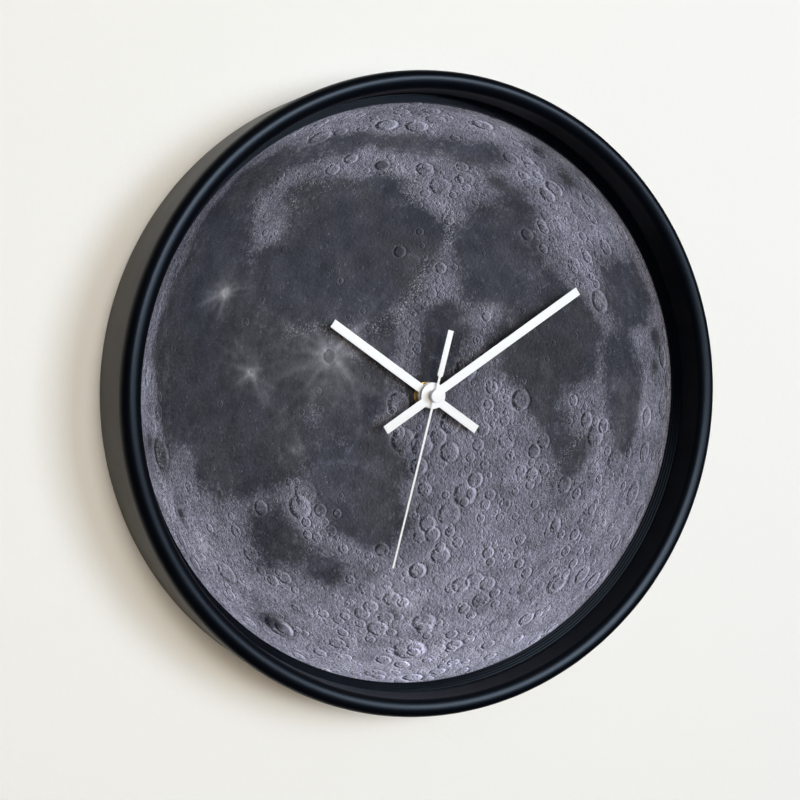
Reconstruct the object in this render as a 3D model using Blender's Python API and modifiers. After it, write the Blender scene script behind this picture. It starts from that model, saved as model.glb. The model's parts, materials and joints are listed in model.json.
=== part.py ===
"""Moon wall clock: a deep round case, a printed dial, white baton hands and a quartz movement.

Every piece is modelled face up on the clock's own axis: local +Z runs from the wall to the
viewer, local +Y is twelve o'clock. The empty clock_axis then stands the clock up, so that in the
world the wall is the plane Y = 0, the dial faces -Y and the origin is the point it hangs from.
"""

from math import atan2, cos, pi, radians, sin

import bmesh
import bpy
from mathutils import Matrix

MM = 0.001

# Fits
SEAT_GAP = 0.3 * MM
RUNNING_CLEARANCE = 0.05 * MM
SCREW_CLEARANCE = 0.1 * MM
JOIN_OVERLAP = 0.2 * MM
CUTTER_MARGIN = 1.0 * MM

# Case
CASE_RADIUS = 150.0 * MM
CASE_DEPTH = 46.2 * MM
CASE_WALL = 2.2 * MM
REAR_CHAMFER = 0.6 * MM
RIM_WIDTH = 9.0 * MM
RIM_CROWN = 4.2 * MM
RIM_ARC_STEPS = 4
CASE_SIDES = 72
LIP_THICKNESS = 1.2 * MM
TERRACES = 4
TERRACE_TREAD = 0.85 * MM
TERRACE_RISE = 1.0 * MM
DISH_LEDGE = 0.25 * MM

# Dial: the printed sheet and the board behind it
DIAL_HEIGHT = 23.4 * MM
PRINT_THICKNESS = 0.4 * MM
PRINT_OVERLAP = 3.6 * MM
BOARD_THICKNESS = 2.5 * MM
BOARD_FIT = 0.5 * MM

# Six self-tapping screws hold the board to bosses between the case's two walls
SCREWS = 6
FIRST_SCREW_ANGLE = radians(30)
BOSS_RADIUS = 3.5 * MM
BOSS_SIDES = 12
BOSS_LENGTH = 12.0 * MM
SCREW_RADIUS = 1.1 * MM
SCREW_LENGTH = 9.5 * MM
SCREW_HEAD_RADIUS = 2.0 * MM
SCREW_HEAD_HEIGHT = 1.5 * MM
SCREW_HEAD_FLAT_RADIUS = 1.4 * MM
SCREW_TIP_LENGTH = 1.6 * MM
SCREW_SIDES = 12

# Threaded bushing with its washers and nut, which clamp the movement to the dial
BUSHING_RADIUS = 3.8 * MM
BUSHING_RISE = 4.0 * MM
FLANGE_RADIUS = 5.4 * MM
FLANGE_THICKNESS = 0.6 * MM
CLAMP_HOLE_FIT = 0.3 * MM
WASHER_RADIUS = 6.2 * MM
WASHER_THICKNESS = 0.5 * MM
NUT_CORNER_RADIUS = 6.4 * MM
NUT_THICKNESS = 2.2 * MM
RUBBER_RADIUS = 7.5 * MM
RUBBER_THICKNESS = 0.6 * MM

# Hanger: a steel strip clamped by the bushing, bent back over the movement to the wall
HANGER_THICKNESS = 0.8 * MM
HANGER_WIDTH = 22.0 * MM
HANGER_TAIL = 10.0 * MM
HANGER_TAB_HEIGHT = 4.0 * MM
HANG_POINT_RISE = 12.0 * MM
HANGER_TAB_RISE = 6.0 * MM
HOOK_SLOT_RADIUS = 2.0 * MM
HOOK_EYE_RADIUS = 4.5 * MM
HOOK_EYE_DROP = 5.5 * MM
SLOT_SIDES = 20
EYE_SIDES = 24

# Movement housing, just wide enough for the cell and its contacts
MOVEMENT_HEIGHT = 56.0 * MM
MOVEMENT_DEPTH = 16.0 * MM
HOUSING_WALL = 1.2 * MM
COVER_THICKNESS = 1.5 * MM
PLATE_THICKNESS = 0.8 * MM
PLATE_SIDE_MARGIN = 2.3 * MM
PLATE_TOP = 15.5 * MM
POST_RADIUS = 2.0 * MM
POST_INSET = 2.6 * MM
CUP_WALL = 1.0 * MM
CUP_HEIGHT = 1.6 * MM

# Arbors, pipes and the pieces on them
THIN_ARBOR = 0.5 * MM
SETTING_ARBOR = 1.0 * MM
MOTION_STUD = 0.8 * MM
MINUTE_PIPE_RADIUS = 1.7 * MM
HOUR_PIPE_RADIUS = 2.6 * MM
ARBOR_SIDES = 12
PIPE_SIDES = 20
PASS_CLEARANCE = 0.2 * MM
HUB_SIDES = 28

# Gear train: teeth, modules and thicknesses
WHEEL_THICKNESS = 0.8 * MM
PINION_LENGTH = 1.2 * MM
LAYER_GAP = 0.3 * MM
ROTOR_LEAVES = 8
STEP_TEETH = 48
STEP_LEAVES = 10
SECONDS_TEETH = 50
SECONDS_LEAVES = 8
THIRD_TEETH = 60
THIRD_LEAVES = 8
CENTRE_TEETH = 64
CANNON_LEAVES = 12
MOTION_TEETH = 36
MOTION_LEAVES = 10
HOUR_TEETH = 40
SETTING_LEAVES = 12
ROTOR_MODULE = 0.25 * MM
STEP_MODULE = 0.26 * MM
THIRD_MODULE = 0.30 * MM
MOTION_MODULE = 0.30 * MM
ADDENDUM = 0.85
DEDENDUM = 1.25
TOOTH_ROOT_SHARE = 0.52
TOOTH_TIP_SHARE = 0.20

# Directions in which the train's axes lie, seen from the front, anticlockwise from three o'clock
THIRD_DIRECTION = radians(150)
STEP_DIRECTION = radians(60)
ROTOR_DIRECTION = radians(60)
MOTION_DIRECTION = radians(-30)
SETTING_DIRECTION = radians(0)

# Stepping motor
ROTOR_RADIUS = 2.6 * MM
ROTOR_THICKNESS = 1.6 * MM
ROTOR_AIR_GAP = 0.6 * MM
STATOR_THICKNESS = 0.7 * MM
STATOR_LOBE_RADIUS = 5.0 * MM
STATOR_LEG_WIDTH = 3.4 * MM
STATOR_BAR_WIDTH = 2.4 * MM
CORE_WIDTH = 3.0 * MM
CORE_THICKNESS = 0.8 * MM
COIL_CENTRE_ACROSS = 2.0 * MM
CORE_LENGTH = 32.0 * MM
BOBBIN_LENGTH = 22.0 * MM
BOBBIN_FLANGE_RADIUS = 4.4 * MM
BOBBIN_FLANGE_THICKNESS = 0.8 * MM
BOBBIN_BARREL_RADIUS = 2.2 * MM
CORE_FIT = 0.1 * MM
WINDING_RADIUS = 3.9 * MM

# Circuit board, chip and crystal
CIRCUIT_WIDTH = 5.4 * MM
CIRCUIT_HEIGHT = 33.0 * MM
CIRCUIT_THICKNESS = 0.8 * MM
CHIP_RADIUS = 2.3 * MM
CHIP_TIP_RADIUS = 1.27 * MM
CHIP_HEIGHT = 1.1 * MM
CHIP_UP_SHARE = 0.45
CRYSTAL_RADIUS = 1.0 * MM
CRYSTAL_LENGTH = 6.2 * MM
CRYSTAL_UP_SHARE = 0.8

# Battery and its contacts
BATTERY_RADIUS = 7.1 * MM
BATTERY_LENGTH = 49.3 * MM
BATTERY_NUB_RADIUS = 2.7 * MM
BATTERY_NUB_LENGTH = 1.0 * MM
BATTERY_EDGE = 0.5 * MM
CONTACT_THICKNESS = 0.4 * MM
CONTACT_WIDTH = 9.0 * MM
CONTACT_HEIGHT = 12.0 * MM
SPRING_WIRE = 0.25 * MM
SPRING_TURNS = 2
SPRING_OUTER = 3.6 * MM
SPRING_INNER = 1.6 * MM
SPRING_POINTS = 9
SPRING_SPACE = 1.6 * MM

# Setting knob
KNOB_RADIUS = 5.2 * MM
KNOB_THICKNESS = 1.2 * MM
KNOB_GRIPS = 18
KNOB_GRIP_DEPTH = 0.35 * MM

# Hands: heights are the top faces above the dial
HAND_THICKNESS = 0.5 * MM
HAND_WIDTH = 4.2 * MM
HAND_HUB_RADIUS = 6.2 * MM
HAND_COLLAR_WALL = 0.9 * MM
HOUR_HEIGHT = 6.3 * MM
HOUR_REACH = 59.6 * MM
HOUR_TAIL = 29.4 * MM
MINUTE_HEIGHT = 9.5 * MM
MINUTE_REACH = 92.0 * MM
MINUTE_TAIL = 28.8 * MM
SECOND_HEIGHT = 11.6 * MM
SECOND_THICKNESS = 0.4 * MM
SECOND_REACH = 82.7 * MM
SECOND_NEEDLE_WIDTH = 1.1 * MM
SECOND_BAR_WIDTH = 2.8 * MM
SECOND_BAR_START = 9.0 * MM
SECOND_BAR_END = 31.7 * MM
SECOND_BOSS_RADIUS = 2.4 * MM
CAP_RADIUS = 3.0 * MM
CAP_HEIGHT = 2.3 * MM
CAP_EDGE = 0.5 * MM

# The time on the dial: nine minutes and thirty-two and a half seconds past ten
SHOWN_HOUR = 10
SHOWN_MINUTE = 9
SHOWN_SECOND = 32.5

# Heights above the wall of the dial's and the movement's layers
PRINT_BACK = DIAL_HEIGHT - PRINT_THICKNESS
BOARD_FRONT = PRINT_BACK - SEAT_GAP
BOARD_BACK = BOARD_FRONT - BOARD_THICKNESS
RUBBER_BACK = BOARD_BACK - SEAT_GAP - RUBBER_THICKNESS
HANGER_BACK = RUBBER_BACK - SEAT_GAP - HANGER_THICKNESS
MOVEMENT_FRONT = HANGER_BACK - SEAT_GAP
MOVEMENT_BACK = MOVEMENT_FRONT - MOVEMENT_DEPTH
HOUSING_FLOOR = MOVEMENT_FRONT - HOUSING_WALL
COVER_FLOOR = MOVEMENT_BACK + COVER_THICKNESS
LIP_BACK = DIAL_HEIGHT + SEAT_GAP
BOSS_END = BOARD_FRONT + SEAT_GAP

# Places across the case
CHANNEL_OUTER = CASE_RADIUS - CASE_WALL
RIM_INNER = CASE_RADIUS - RIM_WIDTH
CHANNEL_INNER = RIM_INNER + CASE_WALL
VIEW_RADIUS = RIM_INNER - DISH_LEDGE - TERRACES * TERRACE_TREAD
SCREW_CIRCLE = (CHANNEL_OUTER + CHANNEL_INNER) / 2

# Centre distances; the second wheel of each coaxial pair takes its module from the first
SECONDS_TO_STEP = (SECONDS_TEETH + STEP_LEAVES) * STEP_MODULE / 2
STEP_TO_ROTOR = (STEP_TEETH + ROTOR_LEAVES) * ROTOR_MODULE / 2
CENTRE_TO_THIRD = (THIRD_TEETH + SECONDS_LEAVES) * THIRD_MODULE / 2
CENTRE_MODULE = 2 * CENTRE_TO_THIRD / (CENTRE_TEETH + THIRD_LEAVES)
CENTRE_TO_MOTION = (MOTION_TEETH + CANNON_LEAVES) * MOTION_MODULE / 2
HOUR_MODULE = 2 * CENTRE_TO_MOTION / (HOUR_TEETH + MOTION_LEAVES)
MOTION_TO_SETTING = (MOTION_TEETH + SETTING_LEAVES) * MOTION_MODULE / 2

# Layers of the train from the front of the housing to its back: each value is a top face
FLANGE_TOP = HOUSING_FLOOR - SEAT_GAP
HOUR_WHEEL_TOP = FLANGE_TOP - FLANGE_THICKNESS - LAYER_GAP
MOTION_WHEEL_TOP = HOUR_WHEEL_TOP - PINION_LENGTH - LAYER_GAP
CENTRE_WHEEL_TOP = MOTION_WHEEL_TOP - PINION_LENGTH - LAYER_GAP
THIRD_PINION_TOP = CENTRE_WHEEL_TOP + (PINION_LENGTH - WHEEL_THICKNESS) / 2
PLATE_FRONT = THIRD_PINION_TOP - PINION_LENGTH - LAYER_GAP
PLATE_BACK = PLATE_FRONT - PLATE_THICKNESS
SECONDS_PINION_TOP = PLATE_BACK - LAYER_GAP
THIRD_WHEEL_TOP = SECONDS_PINION_TOP - (PINION_LENGTH - WHEEL_THICKNESS) / 2
SECONDS_WHEEL_TOP = SECONDS_PINION_TOP - PINION_LENGTH - LAYER_GAP
STEP_PINION_TOP = SECONDS_WHEEL_TOP + (PINION_LENGTH - WHEEL_THICKNESS) / 2
STEP_WHEEL_TOP = STEP_PINION_TOP - PINION_LENGTH - LAYER_GAP
ROTOR_PINION_TOP = STEP_WHEEL_TOP + (PINION_LENGTH - WHEEL_THICKNESS) / 2
STATOR_FRONT = PLATE_BACK - SEAT_GAP
STATOR_BACK = STATOR_FRONT - STATOR_THICKNESS
CORE_BACK = STATOR_FRONT + SEAT_GAP

# Battery bay along the bottom of the housing, and the housing round it
BAY_LENGTH = BATTERY_LENGTH + BATTERY_NUB_LENGTH + SPRING_SPACE + 2 * CONTACT_THICKNESS + 3 * SEAT_GAP
MOVEMENT_WIDTH = BAY_LENGTH + 2 * HOUSING_WALL
CAVITY_HALF_WIDTH = MOVEMENT_WIDTH / 2 - HOUSING_WALL
CAVITY_HALF_HEIGHT = MOVEMENT_HEIGHT / 2 - HOUSING_WALL
PLATE_HALF_WIDTH = CAVITY_HALF_WIDTH - PLATE_SIDE_MARGIN
HANG_POINT = MOVEMENT_HEIGHT / 2 + HANG_POINT_RISE
HANGER_TAB_TOP = HANG_POINT + HANGER_TAB_RISE
BATTERY_AXIS_HEIGHT = HOUSING_FLOOR - SEAT_GAP - BATTERY_RADIUS
BATTERY_AXIS_UP = -CAVITY_HALF_HEIGHT + SEAT_GAP + BATTERY_RADIUS
BAY_TOP = BATTERY_AXIS_UP + BATTERY_RADIUS + SEAT_GAP
TRAIN_BOTTOM = BAY_TOP + HOUSING_WALL

# The coil lies under the housing's top wall
COIL_CENTRE_UP = CAVITY_HALF_HEIGHT - SEAT_GAP - BOBBIN_FLANGE_RADIUS


def clear_scene():
    for obj in list(bpy.data.objects):
        bpy.data.objects.remove(obj)


def new_collection(name):
    collection = bpy.data.collections.new(name)
    bpy.context.scene.collection.children.link(collection)
    return collection


def new_material(name, colour, roughness, metallic=0.0):
    material = bpy.data.materials.new(name)
    material.use_nodes = True
    shader = material.node_tree.nodes["Principled BSDF"]
    shader.inputs["Base Color"].default_value = (*colour, 1.0)
    shader.inputs["Roughness"].default_value = roughness
    shader.inputs["Metallic"].default_value = metallic
    material.diffuse_color = (*colour, 1.0)
    return material


def on_circle(radius, angle):
    return (radius * cos(angle), radius * sin(angle))


def bore_for(radius, sides=ARBOR_SIDES, clearance=RUNNING_CLEARANCE):
    """Corner radius of a faceted hole whose flats clear a shaft of this radius."""
    return (radius + clearance) / cos(pi / sides)


# Solids

def helper(mesh):
    """A working object that a Boolean or the finishing step uses up."""
    obj = bpy.data.objects.new("helper", mesh)
    obj.hide_render = True
    obj.display_type = "WIRE"
    cutters.objects.link(obj)
    return obj


def from_bmesh(bm):
    bmesh.ops.remove_doubles(bm, verts=bm.verts, dist=1e-7)
    bmesh.ops.recalc_face_normals(bm, faces=bm.faces)
    mesh = bpy.data.meshes.new("solid")
    bm.to_mesh(mesh)
    bm.free()
    return helper(mesh)


def plain(obj):
    """The object with its modifiers or its curve turned into a plain closed mesh."""
    bpy.context.view_layer.update()
    graph = bpy.context.evaluated_depsgraph_get()
    mesh = bpy.data.meshes.new_from_object(obj.evaluated_get(graph))
    bm = bmesh.new()
    bm.from_mesh(mesh)
    bm.transform(obj.matrix_world)
    bpy.data.objects.remove(obj)
    bpy.data.meshes.remove(mesh)
    return from_bmesh(bm)


def round_bar(start_radius, end_radius, length, sides, place):
    """A round or tapered bar about the middle of the given place, along its Z."""
    bm = bmesh.new()
    bmesh.ops.create_cone(bm, cap_ends=True, segments=sides, radius1=start_radius,
                          radius2=end_radius, depth=length, matrix=place)
    return from_bmesh(bm)


def cylinder(radius, bottom, top, sides=ARBOR_SIDES, centre=(0, 0), top_radius=None):
    """A bar along +Z, straight unless a top radius is given; a flat of it faces the clock's axis."""
    middle = Matrix.Translation((*centre, (bottom + top) / 2))
    turn = Matrix.Rotation(atan2(centre[1], centre[0]) + pi / sides, 4, "Z")
    return round_bar(radius, top_radius or radius, top - bottom, sides, middle @ turn)


def bar_across(radius, start, end, centre, sides):
    """A bar along +X at the given (up, height)."""
    middle = Matrix.Translation(((start + end) / 2, *centre))
    return round_bar(radius, radius, end - start, sides, middle @ Matrix.Rotation(pi / 2, 4, "Y"))


def block(low, high):
    size = [b - a for a, b in zip(low, high)]
    middle = [(a + b) / 2 for a, b in zip(low, high)]
    bm = bmesh.new()
    bmesh.ops.create_cube(bm, size=1.0, matrix=Matrix.Translation(middle) @ Matrix.Diagonal((*size, 1.0)))
    return from_bmesh(bm)


def ring(outer, inner, bottom, top, sides):
    """A flat ring about the clock's axis."""
    return turned([(outer, top), (outer, bottom), (inner, bottom), (inner, top)], sides, closed=True)


def turned(profile, sides, closed=False):
    """A turned solid: (radius, height) points down the outer side, closed on itself for a ring."""
    count = len(profile)
    edges = [(i, i + 1) for i in range(count - 1)]
    if closed:
        edges.append((count - 1, 0))
    mesh = bpy.data.meshes.new("profile")
    mesh.from_pydata([(r, 0.0, z) for r, z in profile], edges, [])
    obj = helper(mesh)
    screw = obj.modifiers.new("Turn", "SCREW")
    screw.axis = "Z"
    screw.steps = sides
    screw.render_steps = sides
    screw.use_merge_vertices = True
    screw.merge_threshold = 1e-6
    return plain(obj)


def flat_shape(outlines, bottom, thickness):
    """A flat plate from a 2D curve: the first outline is its edge, and any more are its holes."""
    curve = bpy.data.curves.new("outline", "CURVE")
    curve.dimensions = "2D"
    curve.fill_mode = "BOTH"
    curve.extrude = thickness / 2
    for outline in outlines:
        spline = curve.splines.new("POLY")
        spline.points.add(len(outline) - 1)
        for point, (x, y) in zip(spline.points, outline):
            point.co = (x, y, 0.0, 1.0)
        spline.use_cyclic_u = True
    obj = bpy.data.objects.new("outline", curve)
    cutters.objects.link(obj)
    obj.location.z = bottom + thickness / 2
    return plain(obj)


def circle_outline(radius, sides):
    return [on_circle(radius, 2 * pi * i / sides) for i in range(sides)]


def boolean(base, others, operation):
    for other in others:
        modifier = base.modifiers.new(operation.title(), "BOOLEAN")
        modifier.operation = operation
        modifier.solver = "EXACT"
        modifier.object = other
    result = plain(base)
    for other in others:
        bpy.data.objects.remove(other)
    return result


def joined(base, *others):
    return boolean(base, others, "UNION")


def cut(base, *others):
    return boolean(base, others, "DIFFERENCE")


def finish(name, obj, material, parent, smooth_angle=35):
    """Names a solid, gives it its material and hangs it on its axis."""
    obj.name = name
    obj.data.name = name
    obj.data.materials.clear()
    obj.data.materials.append(material)
    obj.data.shade_smooth()
    obj.data.set_sharp_from_angle(angle=radians(smooth_angle))
    obj.hide_render = False
    obj.display_type = "TEXTURED"
    cutters.objects.unlink(obj)
    parts.objects.link(obj)
    obj.parent = parent
    return obj


def axis_empty(name, centre, parent, turn=0.0):
    empty = bpy.data.objects.new(name, None)
    empty.empty_display_size = CAP_RADIUS
    empty.location = (centre[0], centre[1], 0.0)
    empty.rotation_euler.z = turn
    empty.parent = parent
    parts.objects.link(empty)
    return empty


# Case and dial

def case_section():
    """The case's wall in section, clockwise from the middle of its rounded front."""
    crown_centre = CASE_RADIUS - RIM_WIDTH / 2
    crown_base = CASE_DEPTH - RIM_CROWN

    def crown(start, end, inset):
        points = []
        for step in range(RIM_ARC_STEPS + 1):
            angle = radians(start + (end - start) * step / RIM_ARC_STEPS)
            points.append((crown_centre + (RIM_WIDTH / 2 - inset) * cos(angle),
                           crown_base + (RIM_CROWN - inset) * sin(angle)))
        return points

    section = crown(90, 0, 0.0)
    section += [(CASE_RADIUS, REAR_CHAMFER), (CASE_RADIUS - REAR_CHAMFER, 0.0)]
    section += [(CHANNEL_OUTER, 0.0)]
    section += crown(0, 180, CASE_WALL)
    section += [(CHANNEL_INNER, LIP_BACK), (VIEW_RADIUS, LIP_BACK)]
    for terrace in range(TERRACES):
        tread = LIP_BACK + LIP_THICKNESS + terrace * TERRACE_RISE
        section.append((VIEW_RADIUS + terrace * TERRACE_TREAD, tread))
        section.append((VIEW_RADIUS + (terrace + 1) * TERRACE_TREAD, tread))
    section += crown(180, 90, 0.0)[:-1]
    return section


def screw_places():
    step = 2 * pi / SCREWS
    return [on_circle(SCREW_CIRCLE, FIRST_SCREW_ANGLE + i * step) for i in range(SCREWS)]


def screw_holes(bottom, top):
    bore = bore_for(SCREW_RADIUS, SCREW_SIDES, SCREW_CLEARANCE)
    return [cylinder(bore, bottom, top, SCREW_SIDES, place) for place in screw_places()]


def build_case(parent):
    case = turned(case_section(), CASE_SIDES, closed=True)
    bosses = [cylinder(BOSS_RADIUS, BOSS_END, BOSS_END + BOSS_LENGTH, BOSS_SIDES, place)
              for place in screw_places()]
    holes = screw_holes(BOSS_END - CUTTER_MARGIN, BOSS_END + SCREW_LENGTH - BOARD_THICKNESS)
    finish("case_frame", cut(joined(case, *bosses), *holes), satin_black, parent)


def build_dial(parent):
    clamp_hole = BUSHING_RADIUS + CLAMP_HOLE_FIT
    sheet = ring(VIEW_RADIUS + PRINT_OVERLAP, clamp_hole, PRINT_BACK, DIAL_HEIGHT, CASE_SIDES)
    finish("dial_print", sheet, moon_print, parent)
    board = ring(CHANNEL_OUTER - BOARD_FIT, clamp_hole, BOARD_BACK, BOARD_FRONT, CASE_SIDES)
    holes = screw_holes(BOARD_BACK - CUTTER_MARGIN, BOARD_FRONT + CUTTER_MARGIN)
    finish("dial_board", cut(board, *holes), hardboard, parent)


def build_screws(parent):
    """Pan-head self-tapping screws, their heads on the back of the board."""
    seat = BOARD_BACK - SEAT_GAP
    tip = seat + SCREW_LENGTH - SEAT_GAP
    profile = [(0.0, tip), (SCREW_RADIUS, tip - SCREW_TIP_LENGTH), (SCREW_RADIUS, seat),
               (SCREW_HEAD_RADIUS, seat), (SCREW_HEAD_RADIUS, seat - SCREW_HEAD_HEIGHT / 2),
               (SCREW_HEAD_FLAT_RADIUS, seat - SCREW_HEAD_HEIGHT), (0.0, seat - SCREW_HEAD_HEIGHT)]
    for number, place in enumerate(screw_places(), 1):
        screw = finish(f"board_screw_{number}", turned(profile, SCREW_SIDES), zinc_steel, parent)
        screw.location = (*place, 0.0)


def build_clamp(parent):
    """Bushing, washers and nut round the shaft."""
    bushing_top = DIAL_HEIGHT + BUSHING_RISE
    flange_back = FLANGE_TOP - FLANGE_THICKNESS
    bore = bore_for(HOUR_PIPE_RADIUS, PIPE_SIDES)
    bushing = turned([(BUSHING_RADIUS, bushing_top), (BUSHING_RADIUS, FLANGE_TOP),
                      (FLANGE_RADIUS, FLANGE_TOP), (FLANGE_RADIUS, flange_back),
                      (bore, flange_back), (bore, bushing_top)], PIPE_SIDES, closed=True)
    finish("threaded_bushing", bushing, brass, parent)

    hole = bore_for(BUSHING_RADIUS, PIPE_SIDES, SCREW_CLEARANCE)
    washer_back = DIAL_HEIGHT + SEAT_GAP
    washer_top = washer_back + WASHER_THICKNESS
    finish("brass_washer", ring(WASHER_RADIUS, hole, washer_back, washer_top, PIPE_SIDES), brass, parent)

    nut_back = washer_top + SEAT_GAP
    corners = [on_circle(NUT_CORNER_RADIUS, pi / 2 + i * pi / 3) for i in range(6)]
    nut = flat_shape([corners, circle_outline(hole, PIPE_SIDES)], nut_back, NUT_THICKNESS)
    finish("hex_nut", nut, brass, parent)

    rubber = ring(RUBBER_RADIUS, hole, RUBBER_BACK, RUBBER_BACK + RUBBER_THICKNESS, PIPE_SIDES)
    finish("rubber_washer", rubber, black_rubber, parent)


def build_hanger(parent):
    """A strip down the front of the movement, back over its top, then up along the wall."""
    front = HANGER_BACK + HANGER_THICKNESS / 2
    over = MOVEMENT_HEIGHT / 2 + SEAT_GAP + HANGER_THICKNESS / 2
    path = [(-HANGER_TAIL, front), (over, front), (over, HANGER_TAB_HEIGHT),
            (HANGER_TAB_TOP, HANGER_TAB_HEIGHT)]
    half = HANGER_WIDTH / 2
    mesh = bpy.data.meshes.new("strip")
    points = [(side, up, height) for up, height in path for side in (-half, half)]
    faces = [(2 * i, 2 * i + 1, 2 * i + 3, 2 * i + 2) for i in range(len(path) - 1)]
    mesh.from_pydata(points, [], faces)
    strip = helper(mesh)
    thick = strip.modifiers.new("Thickness", "SOLIDIFY")
    thick.thickness = HANGER_THICKNESS
    thick.offset = 0.0
    thick.use_even_offset = True
    thick.use_quality_normals = True
    strip = plain(strip)
    shaft_hole = cylinder(bore_for(BUSHING_RADIUS, PIPE_SIDES, SCREW_CLEARANCE),
                          front - CUTTER_MARGIN, front + CUTTER_MARGIN, PIPE_SIDES)

    # Keyhole: the nail's head goes in at the eye, and the nail comes to rest in the slot's top
    slot_up = HANG_POINT - HOOK_SLOT_RADIUS
    eye_up = slot_up - HOOK_EYE_DROP
    low = HANGER_TAB_HEIGHT - CUTTER_MARGIN
    high = HANGER_TAB_HEIGHT + CUTTER_MARGIN
    slot = cylinder(HOOK_SLOT_RADIUS, low, high, SLOT_SIDES, (0, slot_up))
    neck_half = HOOK_SLOT_RADIUS * cos(pi / SLOT_SIDES)
    neck = block((-neck_half, eye_up, low), (neck_half, slot_up, high))
    eye = cylinder(HOOK_EYE_RADIUS, low, high, EYE_SIDES, (0, eye_up))
    finish("hanger", cut(strip, shaft_hole, joined(joined(slot, neck), eye)), zinc_steel, parent)


# Gears

def gear_outline(teeth, module, phase):
    """A spur gear's outline, with the middle of one tooth at the phase angle."""
    pitch = 2 * pi / teeth
    root = (teeth / 2 - DEDENDUM) * module
    tip = (teeth / 2 + ADDENDUM) * module
    corners = ((root, -TOOTH_ROOT_SHARE), (tip, -TOOTH_TIP_SHARE),
               (tip, TOOTH_TIP_SHARE), (root, TOOTH_ROOT_SHARE))
    return [on_circle(radius, phase + (tooth + share / 2) * pitch)
            for tooth in range(teeth) for radius, share in corners]


def meshed(teeth, phase, direction, other_teeth):
    """Phase of a gear that lies in this direction, so that its gap meets the first gear's tooth."""
    return direction + pi - (phase - direction) * teeth / other_teeth - pi / other_teeth


def gear(teeth, module, phase, top, thickness):
    return flat_shape([gear_outline(teeth, module, phase)], top - thickness, thickness)


def train_axes():
    """Where each arbor stands, as (across, up) from the clock's axis."""
    step = on_circle(SECONDS_TO_STEP, STEP_DIRECTION)
    to_rotor = on_circle(STEP_TO_ROTOR, ROTOR_DIRECTION)
    motion = on_circle(CENTRE_TO_MOTION, MOTION_DIRECTION)
    to_setting = on_circle(MOTION_TO_SETTING, SETTING_DIRECTION)
    return {
        "third": on_circle(CENTRE_TO_THIRD, THIRD_DIRECTION),
        "step": step,
        "rotor": (step[0] + to_rotor[0], step[1] + to_rotor[1]),
        "motion": motion,
        "setting": (motion[0] + to_setting[0], motion[1] + to_setting[1]),
    }


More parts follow.
